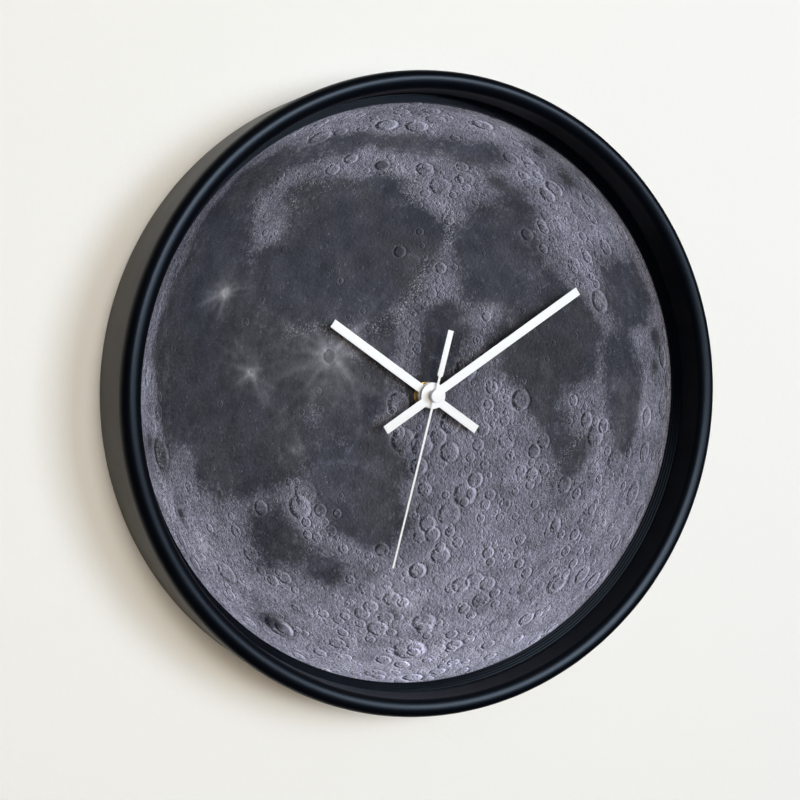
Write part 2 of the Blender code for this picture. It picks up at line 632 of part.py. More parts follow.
def build_train(empties, hands):
    """Wheels with their pinions and arbors, each about its own axis and in mesh with the next."""
    second_turn, minute_turn, hour_turn = [hands[name].rotation_euler.z
                                           for name in ("second", "minute", "hour")]
    seconds_phase = STEP_DIRECTION
    step_pinion_phase = meshed(SECONDS_TEETH, seconds_phase, STEP_DIRECTION, STEP_LEAVES)
    step_phase = ROTOR_DIRECTION
    rotor_phase = meshed(STEP_TEETH, step_phase, ROTOR_DIRECTION, ROTOR_LEAVES)
    third_phase = THIRD_DIRECTION + pi
    seconds_pinion_phase = meshed(THIRD_TEETH, third_phase, THIRD_DIRECTION + pi, SECONDS_LEAVES)
    centre_phase = THIRD_DIRECTION
    third_pinion_phase = meshed(CENTRE_TEETH, centre_phase, THIRD_DIRECTION, THIRD_LEAVES)
    motion_phase = MOTION_DIRECTION + pi
    cannon_phase = meshed(MOTION_TEETH, motion_phase, MOTION_DIRECTION + pi, CANNON_LEAVES)
    hour_phase = MOTION_DIRECTION
    motion_pinion_phase = meshed(HOUR_TEETH, hour_phase, MOTION_DIRECTION, MOTION_LEAVES)
    setting_phase = meshed(MOTION_TEETH, motion_phase, SETTING_DIRECTION, SETTING_LEAVES)

    # Rotor: its pinion and arbor here, its magnet with the motor
    arbor_back = COVER_FLOOR + SEAT_GAP
    rotor = joined(gear(ROTOR_LEAVES, ROTOR_MODULE, rotor_phase, ROTOR_PINION_TOP, PINION_LENGTH),
                   cylinder(THIN_ARBOR, arbor_back, PLATE_FRONT - SEAT_GAP))
    finish("rotor_pinion", rotor, white_acetal, empties["rotor"])
    magnet_top = STATOR_FRONT + (ROTOR_THICKNESS - STATOR_THICKNESS) / 2 - SEAT_GAP
    magnet = ring(ROTOR_RADIUS, bore_for(THIN_ARBOR), magnet_top - ROTOR_THICKNESS, magnet_top, PIPE_SIDES)
    finish("rotor_magnet", magnet, dark_ferrite, empties["rotor"])

    step = joined(gear(STEP_TEETH, ROTOR_MODULE, step_phase, STEP_WHEEL_TOP, WHEEL_THICKNESS),
                  gear(STEP_LEAVES, STEP_MODULE, step_pinion_phase, STEP_PINION_TOP,
                       STEP_PINION_TOP - STEP_WHEEL_TOP + JOIN_OVERLAP),
                  cylinder(THIN_ARBOR, arbor_back, PLATE_FRONT - SEAT_GAP))
    finish("step_wheel", step, white_acetal, empties["step"])

    third = joined(gear(THIRD_TEETH, THIRD_MODULE, third_phase, THIRD_WHEEL_TOP, WHEEL_THICKNESS),
                   cylinder(THIN_ARBOR, arbor_back, HOUSING_FLOOR - SEAT_GAP),
                   gear(THIRD_LEAVES, CENTRE_MODULE, third_pinion_phase, THIRD_PINION_TOP, PINION_LENGTH))
    finish("third_wheel", third, white_acetal, empties["third"])

    seconds = joined(gear(SECONDS_TEETH, STEP_MODULE, seconds_phase - second_turn,
                          SECONDS_WHEEL_TOP, WHEEL_THICKNESS),
                     gear(SECONDS_LEAVES, THIRD_MODULE, seconds_pinion_phase - second_turn,
                          SECONDS_PINION_TOP, SECONDS_PINION_TOP - SECONDS_WHEEL_TOP + JOIN_OVERLAP),
                     cylinder(THIN_ARBOR, arbor_back, DIAL_HEIGHT + SECOND_HEIGHT - SEAT_GAP))
    finish("seconds_wheel", seconds, white_acetal, hands["second"])

    # Centre wheel, cannon pinion and minute pipe in one piece, bored for the seconds arbor
    pipe_end = DIAL_HEIGHT + MINUTE_HEIGHT - SEAT_GAP
    wheel_back = CENTRE_WHEEL_TOP - WHEEL_THICKNESS
    cannon_top = MOTION_WHEEL_TOP + JOIN_OVERLAP
    centre = joined(gear(CENTRE_TEETH, CENTRE_MODULE, centre_phase - minute_turn,
                         CENTRE_WHEEL_TOP, WHEEL_THICKNESS),
                    gear(CANNON_LEAVES, MOTION_MODULE, cannon_phase - minute_turn,
                         cannon_top, cannon_top - CENTRE_WHEEL_TOP + JOIN_OVERLAP),
                    cylinder(MINUTE_PIPE_RADIUS, cannon_top - JOIN_OVERLAP / 2, pipe_end, PIPE_SIDES))
    pipe_bore = cylinder(bore_for(THIN_ARBOR), wheel_back - CUTTER_MARGIN, pipe_end + CUTTER_MARGIN)
    finish("centre_wheel", cut(centre, pipe_bore), white_acetal, hands["minute"])

    # Motion wheel on its stud, and the hour wheel with its pipe round the minute pipe
    motion = joined(gear(MOTION_TEETH, MOTION_MODULE, motion_phase, MOTION_WHEEL_TOP, PINION_LENGTH),
                    gear(MOTION_LEAVES, HOUR_MODULE, motion_pinion_phase,
                         HOUR_WHEEL_TOP, HOUR_WHEEL_TOP - MOTION_WHEEL_TOP + JOIN_OVERLAP))
    stud_bore = cylinder(bore_for(MOTION_STUD), MOTION_WHEEL_TOP - PINION_LENGTH - CUTTER_MARGIN,
                         HOUR_WHEEL_TOP + CUTTER_MARGIN)
    finish("motion_wheel", cut(motion, stud_bore), white_acetal, empties["motion"])

    hour_end = DIAL_HEIGHT + HOUR_HEIGHT - SEAT_GAP
    hour = joined(gear(HOUR_TEETH, HOUR_MODULE, hour_phase - hour_turn, HOUR_WHEEL_TOP, PINION_LENGTH),
                  cylinder(HOUR_PIPE_RADIUS, HOUR_WHEEL_TOP - JOIN_OVERLAP, hour_end, PIPE_SIDES))
    hour_bore = cylinder(bore_for(MINUTE_PIPE_RADIUS, PIPE_SIDES),
                         HOUR_WHEEL_TOP - PINION_LENGTH - CUTTER_MARGIN, hour_end + CUTTER_MARGIN, PIPE_SIDES)
    finish("hour_wheel", cut(hour, hour_bore), white_acetal, hands["hour"])

    # Setting pinion on its long arbor, and the knob on the arbor's end behind the movement
    knob_front = MOVEMENT_BACK - SEAT_GAP
    setting = joined(gear(SETTING_LEAVES, MOTION_MODULE, setting_phase, MOTION_WHEEL_TOP, PINION_LENGTH),
                     cylinder(SETTING_ARBOR, knob_front - KNOB_THICKNESS, HOUSING_FLOOR - SEAT_GAP))
    finish("setting_pinion", setting, white_acetal, empties["setting"])
    grip = [on_circle(KNOB_RADIUS - KNOB_GRIP_DEPTH * (i % 2), i * pi / KNOB_GRIPS)
            for i in range(KNOB_GRIPS * 2)]
    knob = flat_shape([grip, circle_outline(bore_for(SETTING_ARBOR), ARBOR_SIDES)],
                      knob_front - KNOB_THICKNESS, KNOB_THICKNESS)
    finish("setting_knob", knob, white_acetal, empties["setting"])


# Movement housing

def bearing_cup(floor, direction, centre, radius):
    """A short tube on a wall's inner face round an arbor's end, and the bore to cut in it."""
    bore = bore_for(radius)
    end = floor + direction * CUP_HEIGHT
    tube_ends = sorted((floor - direction * JOIN_OVERLAP, end))
    bore_ends = sorted((floor, end + direction * CUTTER_MARGIN))
    return (cylinder(bore + CUP_WALL, *tube_ends, ARBOR_SIDES, centre),
            cylinder(bore, *bore_ends, ARBOR_SIDES, centre))


def post_places():
    across = PLATE_HALF_WIDTH - POST_INSET
    rows = (TRAIN_BOTTOM + POST_INSET, PLATE_TOP - POST_INSET)
    return [(side * across, up) for side in (-1, 1) for up in rows]


def build_movement_case(parent, axes):
    """The front housing: a train chamber and a battery bay, both open to the back."""
    across, up = MOVEMENT_WIDTH / 2, MOVEMENT_HEIGHT / 2
    body = block((-across, -up, MOVEMENT_BACK), (across, up, MOVEMENT_FRONT))
    open_back = MOVEMENT_BACK - CUTTER_MARGIN
    inner = CAVITY_HALF_WIDTH
    chamber = block((-inner, TRAIN_BOTTOM, open_back), (inner, CAVITY_HALF_HEIGHT, HOUSING_FLOOR))
    bay = block((-inner, -CAVITY_HALF_HEIGHT, open_back), (inner, BAY_TOP, HOUSING_FLOOR))
    shaft_hole = cylinder(bore_for(BUSHING_RADIUS, PIPE_SIDES, SCREW_CLEARANCE),
                          HOUSING_FLOOR - CUTTER_MARGIN, MOVEMENT_FRONT + CUTTER_MARGIN, PIPE_SIDES)
    body = cut(body, chamber, bay, shaft_hole)

    third_cup, third_bore = bearing_cup(HOUSING_FLOOR, -1, axes["third"], THIN_ARBOR)
    setting_cup, setting_bore = bearing_cup(HOUSING_FLOOR, -1, axes["setting"], SETTING_ARBOR)
    root = HOUSING_FLOOR + JOIN_OVERLAP
    stud = cylinder(MOTION_STUD, CENTRE_WHEEL_TOP + LAYER_GAP, root, ARBOR_SIDES, axes["motion"])
    posts = [cylinder(POST_RADIUS, PLATE_FRONT + SEAT_GAP, root, ARBOR_SIDES, place)
             for place in post_places()]
    body = joined(body, third_cup, setting_cup, stud, *posts)
    finish("movement_case", cut(body, third_bore, setting_bore), black_plastic, parent)


def build_movement_cover(parent, axes):
    """The plate that closes the train chamber's back, with the rear bearings on its inner face."""
    edge = CAVITY_HALF_WIDTH - SEAT_GAP
    plate = block((-edge, TRAIN_BOTTOM + SEAT_GAP, MOVEMENT_BACK),
                  (edge, CAVITY_HALF_HEIGHT - SEAT_GAP, COVER_FLOOR))
    cups, bores = zip(*[bearing_cup(COVER_FLOOR, 1, place, THIN_ARBOR)
                        for place in ((0, 0), axes["third"], axes["step"], axes["rotor"])])
    knob_hole = cylinder(bore_for(SETTING_ARBOR), MOVEMENT_BACK - CUTTER_MARGIN, COVER_FLOOR + CUTTER_MARGIN,
                         ARBOR_SIDES, axes["setting"])
    finish("movement_cover", cut(joined(plate, *cups), knob_hole, *bores), black_plastic, parent)


def build_train_plate(parent, axes):
    """The middle plate between the two halves of the train."""
    plate = block((-PLATE_HALF_WIDTH, TRAIN_BOTTOM + SEAT_GAP, PLATE_BACK),
                  (PLATE_HALF_WIDTH, PLATE_TOP, PLATE_FRONT))
    pinion_tip = (THIRD_LEAVES / 2 + ADDENDUM) * CENTRE_MODULE
    holes = [(THIN_ARBOR, (0, 0)), (THIN_ARBOR, axes["step"]), (THIN_ARBOR, axes["rotor"]),
             (SETTING_ARBOR, axes["setting"]), (pinion_tip + PASS_CLEARANCE, axes["third"])]
    bores = [cylinder(bore_for(radius), PLATE_BACK - CUTTER_MARGIN, PLATE_FRONT + CUTTER_MARGIN,
                      ARBOR_SIDES, place) for radius, place in holes]
    finish("train_plate", cut(plate, *bores), white_acetal, parent)


# Stepping motor, circuit and battery

def build_motor(parent, axes):
    """A flat stator round the rotor, with two legs up to the ends of the coil's core."""
    left = COIL_CENTRE_ACROSS - CORE_LENGTH / 2
    right = COIL_CENTRE_ACROSS + CORE_LENGTH / 2
    leg_top = COIL_CENTRE_UP + CORE_WIDTH / 2
    bar_top = COIL_CENTRE_UP - BOBBIN_FLANGE_RADIUS - SEAT_GAP
    bar_low = bar_top - STATOR_BAR_WIDTH
    leg = STATOR_LEG_WIDTH
    outline = [(left, bar_low), (right, bar_low), (right, leg_top), (right - leg, leg_top),
               (right - leg, bar_top), (left + leg, bar_top), (left + leg, leg_top), (left, leg_top)]
    lobe = cylinder(STATOR_LOBE_RADIUS, STATOR_BACK, STATOR_FRONT, HUB_SIDES, axes["rotor"])
    stator = joined(flat_shape([outline], STATOR_BACK, STATOR_THICKNESS), lobe)
    rotor_hole = cylinder(ROTOR_RADIUS + ROTOR_AIR_GAP, STATOR_BACK - CUTTER_MARGIN,
                          STATOR_FRONT + CUTTER_MARGIN, PIPE_SIDES, axes["rotor"])
    finish("stator", cut(stator, rotor_hole), nickel_iron, parent)

    half_core = CORE_WIDTH / 2
    core = block((left, COIL_CENTRE_UP - half_core, CORE_BACK),
                 (right, COIL_CENTRE_UP + half_core, CORE_BACK + CORE_THICKNESS))
    finish("coil_core", core, nickel_iron, parent)

    axis = (COIL_CENTRE_UP, CORE_BACK + CORE_THICKNESS / 2)
    start = COIL_CENTRE_ACROSS - BOBBIN_LENGTH / 2
    end = COIL_CENTRE_ACROSS + BOBBIN_LENGTH / 2
    flange = BOBBIN_FLANGE_THICKNESS
    bobbin = joined(bar_across(BOBBIN_BARREL_RADIUS, start + flange / 2, end - flange / 2, axis, PIPE_SIDES),
                    bar_across(BOBBIN_FLANGE_RADIUS, start, start + flange, axis, PIPE_SIDES),
                    bar_across(BOBBIN_FLANGE_RADIUS, end - flange, end, axis, PIPE_SIDES))
    slot = block((start - CUTTER_MARGIN, COIL_CENTRE_UP - half_core - CORE_FIT, CORE_BACK - CORE_FIT),
                 (end + CUTTER_MARGIN, COIL_CENTRE_UP + half_core + CORE_FIT,
                  CORE_BACK + CORE_THICKNESS + CORE_FIT))
    finish("coil_bobbin", cut(bobbin, slot), white_acetal, parent)

    winding = bar_across(WINDING_RADIUS, start + flange + SEAT_GAP, end - flange - SEAT_GAP, axis, PIPE_SIDES)
    bore_radius = bore_for(BOBBIN_BARREL_RADIUS, PIPE_SIDES, SCREW_CLEARANCE)
    bore = bar_across(bore_radius, start, end, axis, PIPE_SIDES)
    finish("coil_winding", cut(winding, bore), copper, parent)


def build_circuit(parent):
    left = -CAVITY_HALF_WIDTH + SEAT_GAP
    bottom = TRAIN_BOTTOM + SEAT_GAP
    front = PLATE_BACK - SEAT_GAP
    back = front - CIRCUIT_THICKNESS
    board = block((left, bottom, back), (left + CIRCUIT_WIDTH, bottom + CIRCUIT_HEIGHT, front))
    finish("circuit_board", board, circuit_green, parent)

    middle = left + CIRCUIT_WIDTH / 2
    chip_top = back - SEAT_GAP
    chip_place = (middle, bottom + CIRCUIT_HEIGHT * CHIP_UP_SHARE)
    chip = cylinder(CHIP_TIP_RADIUS, chip_top - CHIP_HEIGHT, chip_top, PIPE_SIDES, chip_place, CHIP_RADIUS)
    finish("driver_chip", chip, black_epoxy, parent)

    crystal_up = bottom + CIRCUIT_HEIGHT * CRYSTAL_UP_SHARE
    place = Matrix.Translation((middle, crystal_up, back - SEAT_GAP - CRYSTAL_RADIUS))
    crystal = round_bar(CRYSTAL_RADIUS, CRYSTAL_RADIUS, CRYSTAL_LENGTH, ARBOR_SIDES,
                        place @ Matrix.Rotation(pi / 2, 4, "X"))
    finish("quartz_crystal", crystal, zinc_steel, parent)


def build_battery(parent, slide):
    axis = (BATTERY_AXIS_UP, BATTERY_AXIS_HEIGHT)
    right_contact = CAVITY_HALF_WIDTH - SEAT_GAP
    nub_end = right_contact - CONTACT_THICKNESS - SEAT_GAP
    can_end = nub_end - BATTERY_NUB_LENGTH
    can_start = can_end - BATTERY_LENGTH
    nub_top = BATTERY_LENGTH + BATTERY_NUB_LENGTH
    end_radius = BATTERY_RADIUS - BATTERY_EDGE
    profile = [(0.0, nub_top), (BATTERY_NUB_RADIUS, nub_top), (BATTERY_NUB_RADIUS, BATTERY_LENGTH),
               (end_radius, BATTERY_LENGTH), (BATTERY_RADIUS, BATTERY_LENGTH - BATTERY_EDGE),
               (BATTERY_RADIUS, BATTERY_EDGE), (end_radius, 0.0), (0.0, 0.0)]
    cell = turned(profile, HUB_SIDES)
    cell.matrix_world = Matrix.Translation((can_start, *axis)) @ Matrix.Rotation(pi / 2, 4, "Y")
    finish("battery_cell", plain(cell), battery_wrap, slide)

    half = CONTACT_WIDTH / 2
    low, high = BATTERY_AXIS_HEIGHT - half, BATTERY_AXIS_HEIGHT + half
    tall = CONTACT_HEIGHT / 2
    positive = block((right_contact - CONTACT_THICKNESS, BATTERY_AXIS_UP - tall, low),
                     (right_contact, BATTERY_AXIS_UP + tall, high))
    finish("contact_positive", positive, nickel_iron, parent)
    left_contact = -right_contact
    negative = block((left_contact, BATTERY_AXIS_UP - tall, low),
                     (left_contact + CONTACT_THICKNESS, BATTERY_AXIS_UP + tall, high))
    finish("contact_negative", negative, nickel_iron, parent)

    # Flat conical spring between the negative contact and the cell
    start = left_contact + CONTACT_THICKNESS + SEAT_GAP + SPRING_WIRE
    end = can_start - SEAT_GAP - SPRING_WIRE
    curve = bpy.data.curves.new("spring", "CURVE")
    curve.dimensions = "3D"
    curve.bevel_depth = SPRING_WIRE
    curve.bevel_resolution = 1
    curve.use_fill_caps = True
    spline = curve.splines.new("POLY")
    count = SPRING_TURNS * SPRING_POINTS
    spline.points.add(count)
    for i, point in enumerate(spline.points):
        share = i / count
        radius = SPRING_OUTER + (SPRING_INNER - SPRING_OUTER) * share
        angle = 2 * pi * SPRING_TURNS * share
        point.co = (start + (end - start) * share, BATTERY_AXIS_UP + radius * cos(angle),
                    BATTERY_AXIS_HEIGHT + radius * sin(angle), 1.0)
    spring = bpy.data.objects.new("spring", curve)
    cutters.objects.link(spring)
    finish("battery_spring", plain(spring), zinc_steel, parent)


# Hands

def hand(outline, hub_radius, shaft_radius, sides, collar_back, top, thickness):
    """A flat blade with a round hub and, behind it, a collar on its pipe or arbor."""
    bore = bore_for(shaft_radius, sides)
    blank = joined(flat_shape([outline], top - thickness, thickness),
                   cylinder(hub_radius, top - thickness, top, HUB_SIDES),
                   cylinder(bore + HAND_COLLAR_WALL, collar_back, top - thickness / 2, PIPE_SIDES))
    return cut(blank, cylinder(bore, collar_back - CUTTER_MARGIN, top + CUTTER_MARGIN, sides))


def baton(reach, tail):
    """A square-ended blade pointing at twelve."""
    half = HAND_WIDTH / 2
    return [(-half, -tail), (half, -tail), (half, reach), (-half, reach)]


def build_hands(hands):
    hour_top = DIAL_HEIGHT + HOUR_HEIGHT
    hour = hand(baton(HOUR_REACH, HOUR_TAIL), HAND_HUB_RADIUS, HOUR_PIPE_RADIUS, PIPE_SIDES,
                DIAL_HEIGHT + BUSHING_RISE + SEAT_GAP, hour_top, HAND_THICKNESS)
    finish("hour_hand", hour, white_enamel, hands["hour"])

    minute_top = DIAL_HEIGHT + MINUTE_HEIGHT
    minute = hand(baton(MINUTE_REACH, MINUTE_TAIL), HAND_HUB_RADIUS, MINUTE_PIPE_RADIUS, PIPE_SIDES,
                  hour_top + SEAT_GAP, minute_top, HAND_THICKNESS)
    finish("minute_hand", minute, white_enamel, hands["minute"])

    # The second hand is a needle with a wider bar as its counterweight
    second_top = DIAL_HEIGHT + SECOND_HEIGHT
    needle = SECOND_NEEDLE_WIDTH / 2
    bar = SECOND_BAR_WIDTH / 2
    outline = [(-bar, -SECOND_BAR_END), (bar, -SECOND_BAR_END), (bar, -SECOND_BAR_START),
               (needle, -SECOND_BAR_START), (needle, SECOND_REACH), (-needle, SECOND_REACH),
               (-needle, -SECOND_BAR_START), (-bar, -SECOND_BAR_START)]
    second = hand(outline, SECOND_BOSS_RADIUS, THIN_ARBOR, ARBOR_SIDES,
                  minute_top + SEAT_GAP, second_top, SECOND_THICKNESS)
    finish("second_hand", second, white_enamel, hands["second"])

    cap_base = second_top + SEAT_GAP
    cap_top = cap_base + CAP_HEIGHT
    cap = turned([(0.0, cap_top), (CAP_RADIUS - CAP_EDGE, cap_top), (CAP_RADIUS, cap_top - CAP_EDGE),
                  (CAP_RADIUS, cap_base), (0.0, cap_base)], HUB_SIDES)
    finish("centre_cap", cap, white_gloss, hands["second"])


clear_scene()
parts = new_collection("moon_wall_clock")
cutters = new_collection("cutters")
cutters.hide_render = True

satin_black = new_material("satin_black_plastic", (0.006, 0.007, 0.009), 0.35)
moon_print = new_material("moon_print", (0.14, 0.14, 0.16), 0.55)
hardboard = new_material("hardboard", (0.16, 0.10, 0.055), 0.8)
zinc_steel = new_material("zinc_steel", (0.55, 0.55, 0.56), 0.35, 1.0)
nickel_iron = new_material("nickel_iron", (0.5, 0.49, 0.46), 0.4, 1.0)
brass = new_material("brass", (0.72, 0.50, 0.20), 0.3, 1.0)
copper = new_material("copper_wire", (0.62, 0.25, 0.11), 0.35, 1.0)
black_rubber = new_material("black_rubber", (0.02, 0.02, 0.02), 0.9)
black_plastic = new_material("black_plastic", (0.02, 0.02, 0.022), 0.5)
black_epoxy = new_material("black_epoxy", (0.01, 0.01, 0.01), 0.3)
circuit_green = new_material("circuit_board", (0.03, 0.16, 0.06), 0.5)
dark_ferrite = new_material("dark_ferrite", (0.06, 0.06, 0.065), 0.5, 0.6)
battery_wrap = new_material("battery_wrap", (0.12, 0.13, 0.15), 0.35)
white_acetal = new_material("white_acetal", (0.82, 0.82, 0.80), 0.45)
white_enamel = new_material("white_enamel", (0.85, 0.85, 0.84), 0.5)
white_gloss = new_material("white_gloss", (0.86, 0.86, 0.85), 0.3)

# The clock stands up on the wall, its hanging point at the world's origin
clock_axis = bpy.data.objects.new("clock_axis", None)
clock_axis.empty_display_size = HANG_POINT
clock_axis.location = (0.0, 0.0, -HANG_POINT)
clock_axis.rotation_euler = (pi / 2, 0.0, 0.0)
parts.objects.link(clock_axis)

second_share = SHOWN_SECOND / 60
minute_share = (SHOWN_MINUTE + second_share) / 60
hour_share = (SHOWN_HOUR + minute_share) / 12
hand_axes = {
    "hour": axis_empty("hour_axis", (0, 0), clock_axis, -2 * pi * hour_share),
    "minute": axis_empty("minute_axis", (0, 0), clock_axis, -2 * pi * minute_share),
    "second": axis_empty("second_axis", (0, 0), clock_axis, -2 * pi * second_share),
}
arbor_places = train_axes()
arbor_axes = {name: axis_empty(f"{name}_axis", place, clock_axis) for name, place in arbor_places.items()}
battery_slide = axis_empty("battery_slide", (0, 0), clock_axis)

build_case(clock_axis)
build_dial(clock_axis)
build_screws(clock_axis)
build_clamp(clock_axis)
build_hanger(clock_axis)
build_movement_case(clock_axis, arbor_places)
build_movement_cover(clock_axis, arbor_places)
build_train_plate(clock_axis, arbor_places)
build_motor(clock_axis, arbor_places)
build_circuit(clock_axis)
build_battery(clock_axis, battery_slide)
build_train(arbor_axes, hand_axes)
build_hands(hand_axes)
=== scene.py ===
"""Moon wall clock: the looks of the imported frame, on a pale wall in soft studio light.

Pieces are modelled face up on the clock's own axis, in millimetres: x across, y up, z from the
wall to the viewer. settle() turns each one to its place in the frame, in metres.
"""

import json
from math import asin, cos, pi, radians, sin, sqrt, tan

import bmesh
import bpy
import numpy as np
from mathutils import Matrix, Vector


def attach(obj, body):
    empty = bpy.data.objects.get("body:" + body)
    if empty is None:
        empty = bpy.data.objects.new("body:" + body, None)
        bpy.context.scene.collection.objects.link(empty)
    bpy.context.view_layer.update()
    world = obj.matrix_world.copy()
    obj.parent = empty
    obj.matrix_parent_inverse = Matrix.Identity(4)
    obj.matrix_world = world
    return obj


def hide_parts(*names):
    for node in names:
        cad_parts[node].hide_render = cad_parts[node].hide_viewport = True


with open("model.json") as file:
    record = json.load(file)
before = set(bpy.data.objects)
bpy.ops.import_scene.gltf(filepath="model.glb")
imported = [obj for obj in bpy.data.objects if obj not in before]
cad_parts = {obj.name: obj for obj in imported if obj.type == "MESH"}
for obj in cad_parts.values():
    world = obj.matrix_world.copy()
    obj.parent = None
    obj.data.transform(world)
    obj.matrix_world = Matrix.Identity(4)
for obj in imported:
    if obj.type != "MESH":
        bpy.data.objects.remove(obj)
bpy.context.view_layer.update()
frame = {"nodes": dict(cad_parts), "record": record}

MM = 0.001
HANG_POINT = 40.0
STAND_UP = (Matrix.Translation((0, 0, -HANG_POINT * MM)) @ Matrix.Rotation(pi / 2, 4, "X")
            @ Matrix.Scale(MM, 4))

# Heights above the wall, as in the frame
BOARD_BACK, BOARD_FRONT = 20.2, 22.7
PRINT_BACK, DIAL_HEIGHT = 23.0, 23.4
LIP_BACK = 23.7
HOUR_TOP, MINUTE_TOP, SECOND_TOP = 29.7, 32.9, 35.0
MOVEMENT_BACK, MOVEMENT_FRONT = 1.9, 17.9
PLATE_FRONT = 11.2

# Case, across
CASE_RADIUS = 150.0
CASE_WALL = 2.2
RIM_CENTRE = 145.5
RIM_HALF_WIDTH = 4.5
RIM_BASE = 42.0
RIM_CROWN = 4.2
RIM_ROLL = 3.2
RIM_INNER = 141.0
VIEW_RADIUS = 137.35
TERRACES = 4
TERRACE_TREAD = 0.85
TERRACE_RISE = 1.0
LIP_THICKNESS = 1.2
SCREW_CIRCLE = 145.5
SCREWS = 6
FIRST_SCREW_ANGLE = 30

# Dial, clamp and movement, across
PRINT_RADIUS, PRINT_HOLE = 140.95, 4.1
BOARD_RADIUS = 147.25
SHAFT_HOLE = 3.95
HOUSING_HALF = 28.0
CHAMBER_HALF = 26.8
CELL_UP, CELL_HEIGHT = -19.4, 9.3
KNOB_PLACE = (13.435, -3.6)

# Hands, as turns clockwise from twelve
HOUR_TURN = radians(304.7708333)
MINUTE_TURN = radians(57.25)
SECOND_TURN = radians(195.0)


# Making pieces

def linked(name, data):
    """A new object, linked to the scene."""
    obj = bpy.data.objects.new(name, data)
    bpy.context.scene.collection.objects.link(obj)
    return obj


def settle(name, mesh, slot, *nodes, body="clock", smooth=30, material=None):
    """The finished piece: stood up, coloured, and carried by its body in place of its nodes. Edges
    sharper than smooth, in degrees, stay crisp."""
    mesh.transform(STAND_UP)
    mesh.update()
    mesh.name = name
    mesh.materials.clear()
    mesh.materials.append(material or FINISHES[slot])
    mesh.shade_smooth()
    mesh.set_sharp_from_angle(angle=radians(smooth))
    obj = linked(name, mesh)
    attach(obj, body)
    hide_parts(*nodes)


def to_mesh(bm, merge=1e-5, turn_out=True):
    if merge:
        bmesh.ops.remove_doubles(bm, verts=bm.verts, dist=merge)
    if turn_out:
        bmesh.ops.recalc_face_normals(bm, faces=bm.faces)
    mesh = bpy.data.meshes.new("work")
    bm.to_mesh(mesh)
    bm.free()
    return mesh


def evaluated(obj):
    """The object's mesh with its modifiers or its curve worked out; the object goes away."""
    graph = bpy.context.evaluated_depsgraph_get()
    mesh = bpy.data.meshes.new_from_object(obj.evaluated_get(graph))
    data = obj.data
    bpy.data.objects.remove(obj)
    if isinstance(data, bpy.types.Curve):
        bpy.data.curves.remove(data)
    return mesh


def merged(*meshes):
    """Several meshes in one, each kept as its own shell."""
    bm = bmesh.new()
    for mesh in meshes:
        bm.from_mesh(mesh)
        bpy.data.meshes.remove(mesh)
    return to_mesh(bm, merge=0, turn_out=False)


def moved(mesh, x=0.0, y=0.0, z=0.0, turn=0.0):
    mesh.transform(Matrix.Translation((x, y, z)) @ Matrix.Rotation(turn, 4, "Z"))
    return mesh


def arc(radius, start, sweep, steps, centre=(0, 0)):
    """Points along an arc, both ends included; its start and sweep are in radians."""
    angles = [start + sweep * i / steps for i in range(steps + 1)]
    return [(centre[0] + radius * cos(a), centre[1] + radius * sin(a)) for a in angles]


def circle(radius, sides, centre=(0, 0)):
    return arc(radius, 0, 2 * pi, sides, centre)[:-1]


def rounded(low, high, radius):
    """A rectangle's outline with rounded corners."""
    (x0, y0), (x1, y1) = low, high
    corners = ((x1 - radius, y1 - radius), (x0 + radius, y1 - radius), (x0 + radius, y0 + radius),
               (x1 - radius, y0 + radius))
    return [point for i, corner in enumerate(corners) for point in arc(radius, pi / 2 * i, pi / 2, 5, corner)]


def eased(corners, steps=3):
    """A closed section's corners (radius, height, fillet), each fillet worked out as a short arc."""
    points = []
    count = len(corners)
    for i, (r, h, fillet) in enumerate(corners):
        here = Vector((r, h))
        if not fillet:
            points.append(tuple(here))
            continue
        to_last = Vector(corners[i - 1][:2]) - here
        to_next = Vector(corners[(i + 1) % count][:2]) - here
        half = to_last.angle(to_next) / 2
        reach = min(fillet / tan(half), to_last.length * 0.49, to_next.length * 0.49)
        start, end = here + to_last.normalized() * reach, here + to_next.normalized() * reach
        for step in range(steps + 1):
            share = step / steps
            points.append(tuple(start.lerp(here, share).lerp(here.lerp(end, share), share)))
    return points


def join_rings(bm, rings, closed):
    """Faces from each ring of corners to the next, and from the last to the first if closed."""
    for ring, following in zip(rings, rings[1:] + (rings[:1] if closed else [])):
        for s in range(len(ring)):
            t = (s + 1) % len(ring)
            corners = list(dict.fromkeys((ring[s], ring[t], following[t], following[s])))
            if len(corners) > 2:
                bm.faces.new(corners)


def lathe(section, segments, closed=True):
    """A section of (radius, height) points turned round the axis."""
    bm = bmesh.new()
    rings = []
    for r, h in section:
        if r < 1e-6:
            rings.append([bm.verts.new((0, 0, h))] * segments)
        else:
            rings.append([bm.verts.new((x, y, h)) for x, y in circle(r, segments)])
    join_rings(bm, rings, closed)
    return to_mesh(bm)


def spun(corners, segments, closed=True, steps=3):
    """Corners (radius, height, fillet) eased, and turned round the axis."""
    return lathe(eased(corners, steps), segments, closed)


def plate(outlines, back, front, edge=0.08):
    """A flat piece with softly rounded edges: the first outline is its edge, the others are holes."""
    curve = bpy.data.curves.new("plate", "CURVE")
    curve.dimensions = "2D"
    curve.fill_mode = "BOTH"
    curve.extrude = (front - back) / 2 - edge
    curve.bevel_depth = edge
    curve.bevel_resolution = 2
    curve.offset = -edge
    for outline in outlines:
        spline = curve.splines.new("POLY")
        spline.points.add(len(outline) - 1)
        for point, (x, y) in zip(spline.points, outline):
            point.co = (x, y, 0, 1)
        spline.use_cyclic_u = True
    mesh = evaluated(linked("plate", curve))
    bm = bmesh.new()
    bm.from_mesh(mesh)
    bpy.data.meshes.remove(mesh)
    bmesh.ops.translate(bm, verts=bm.verts, vec=(0, 0, (front + back) / 2))
    return to_mesh(bm, merge=1e-3)


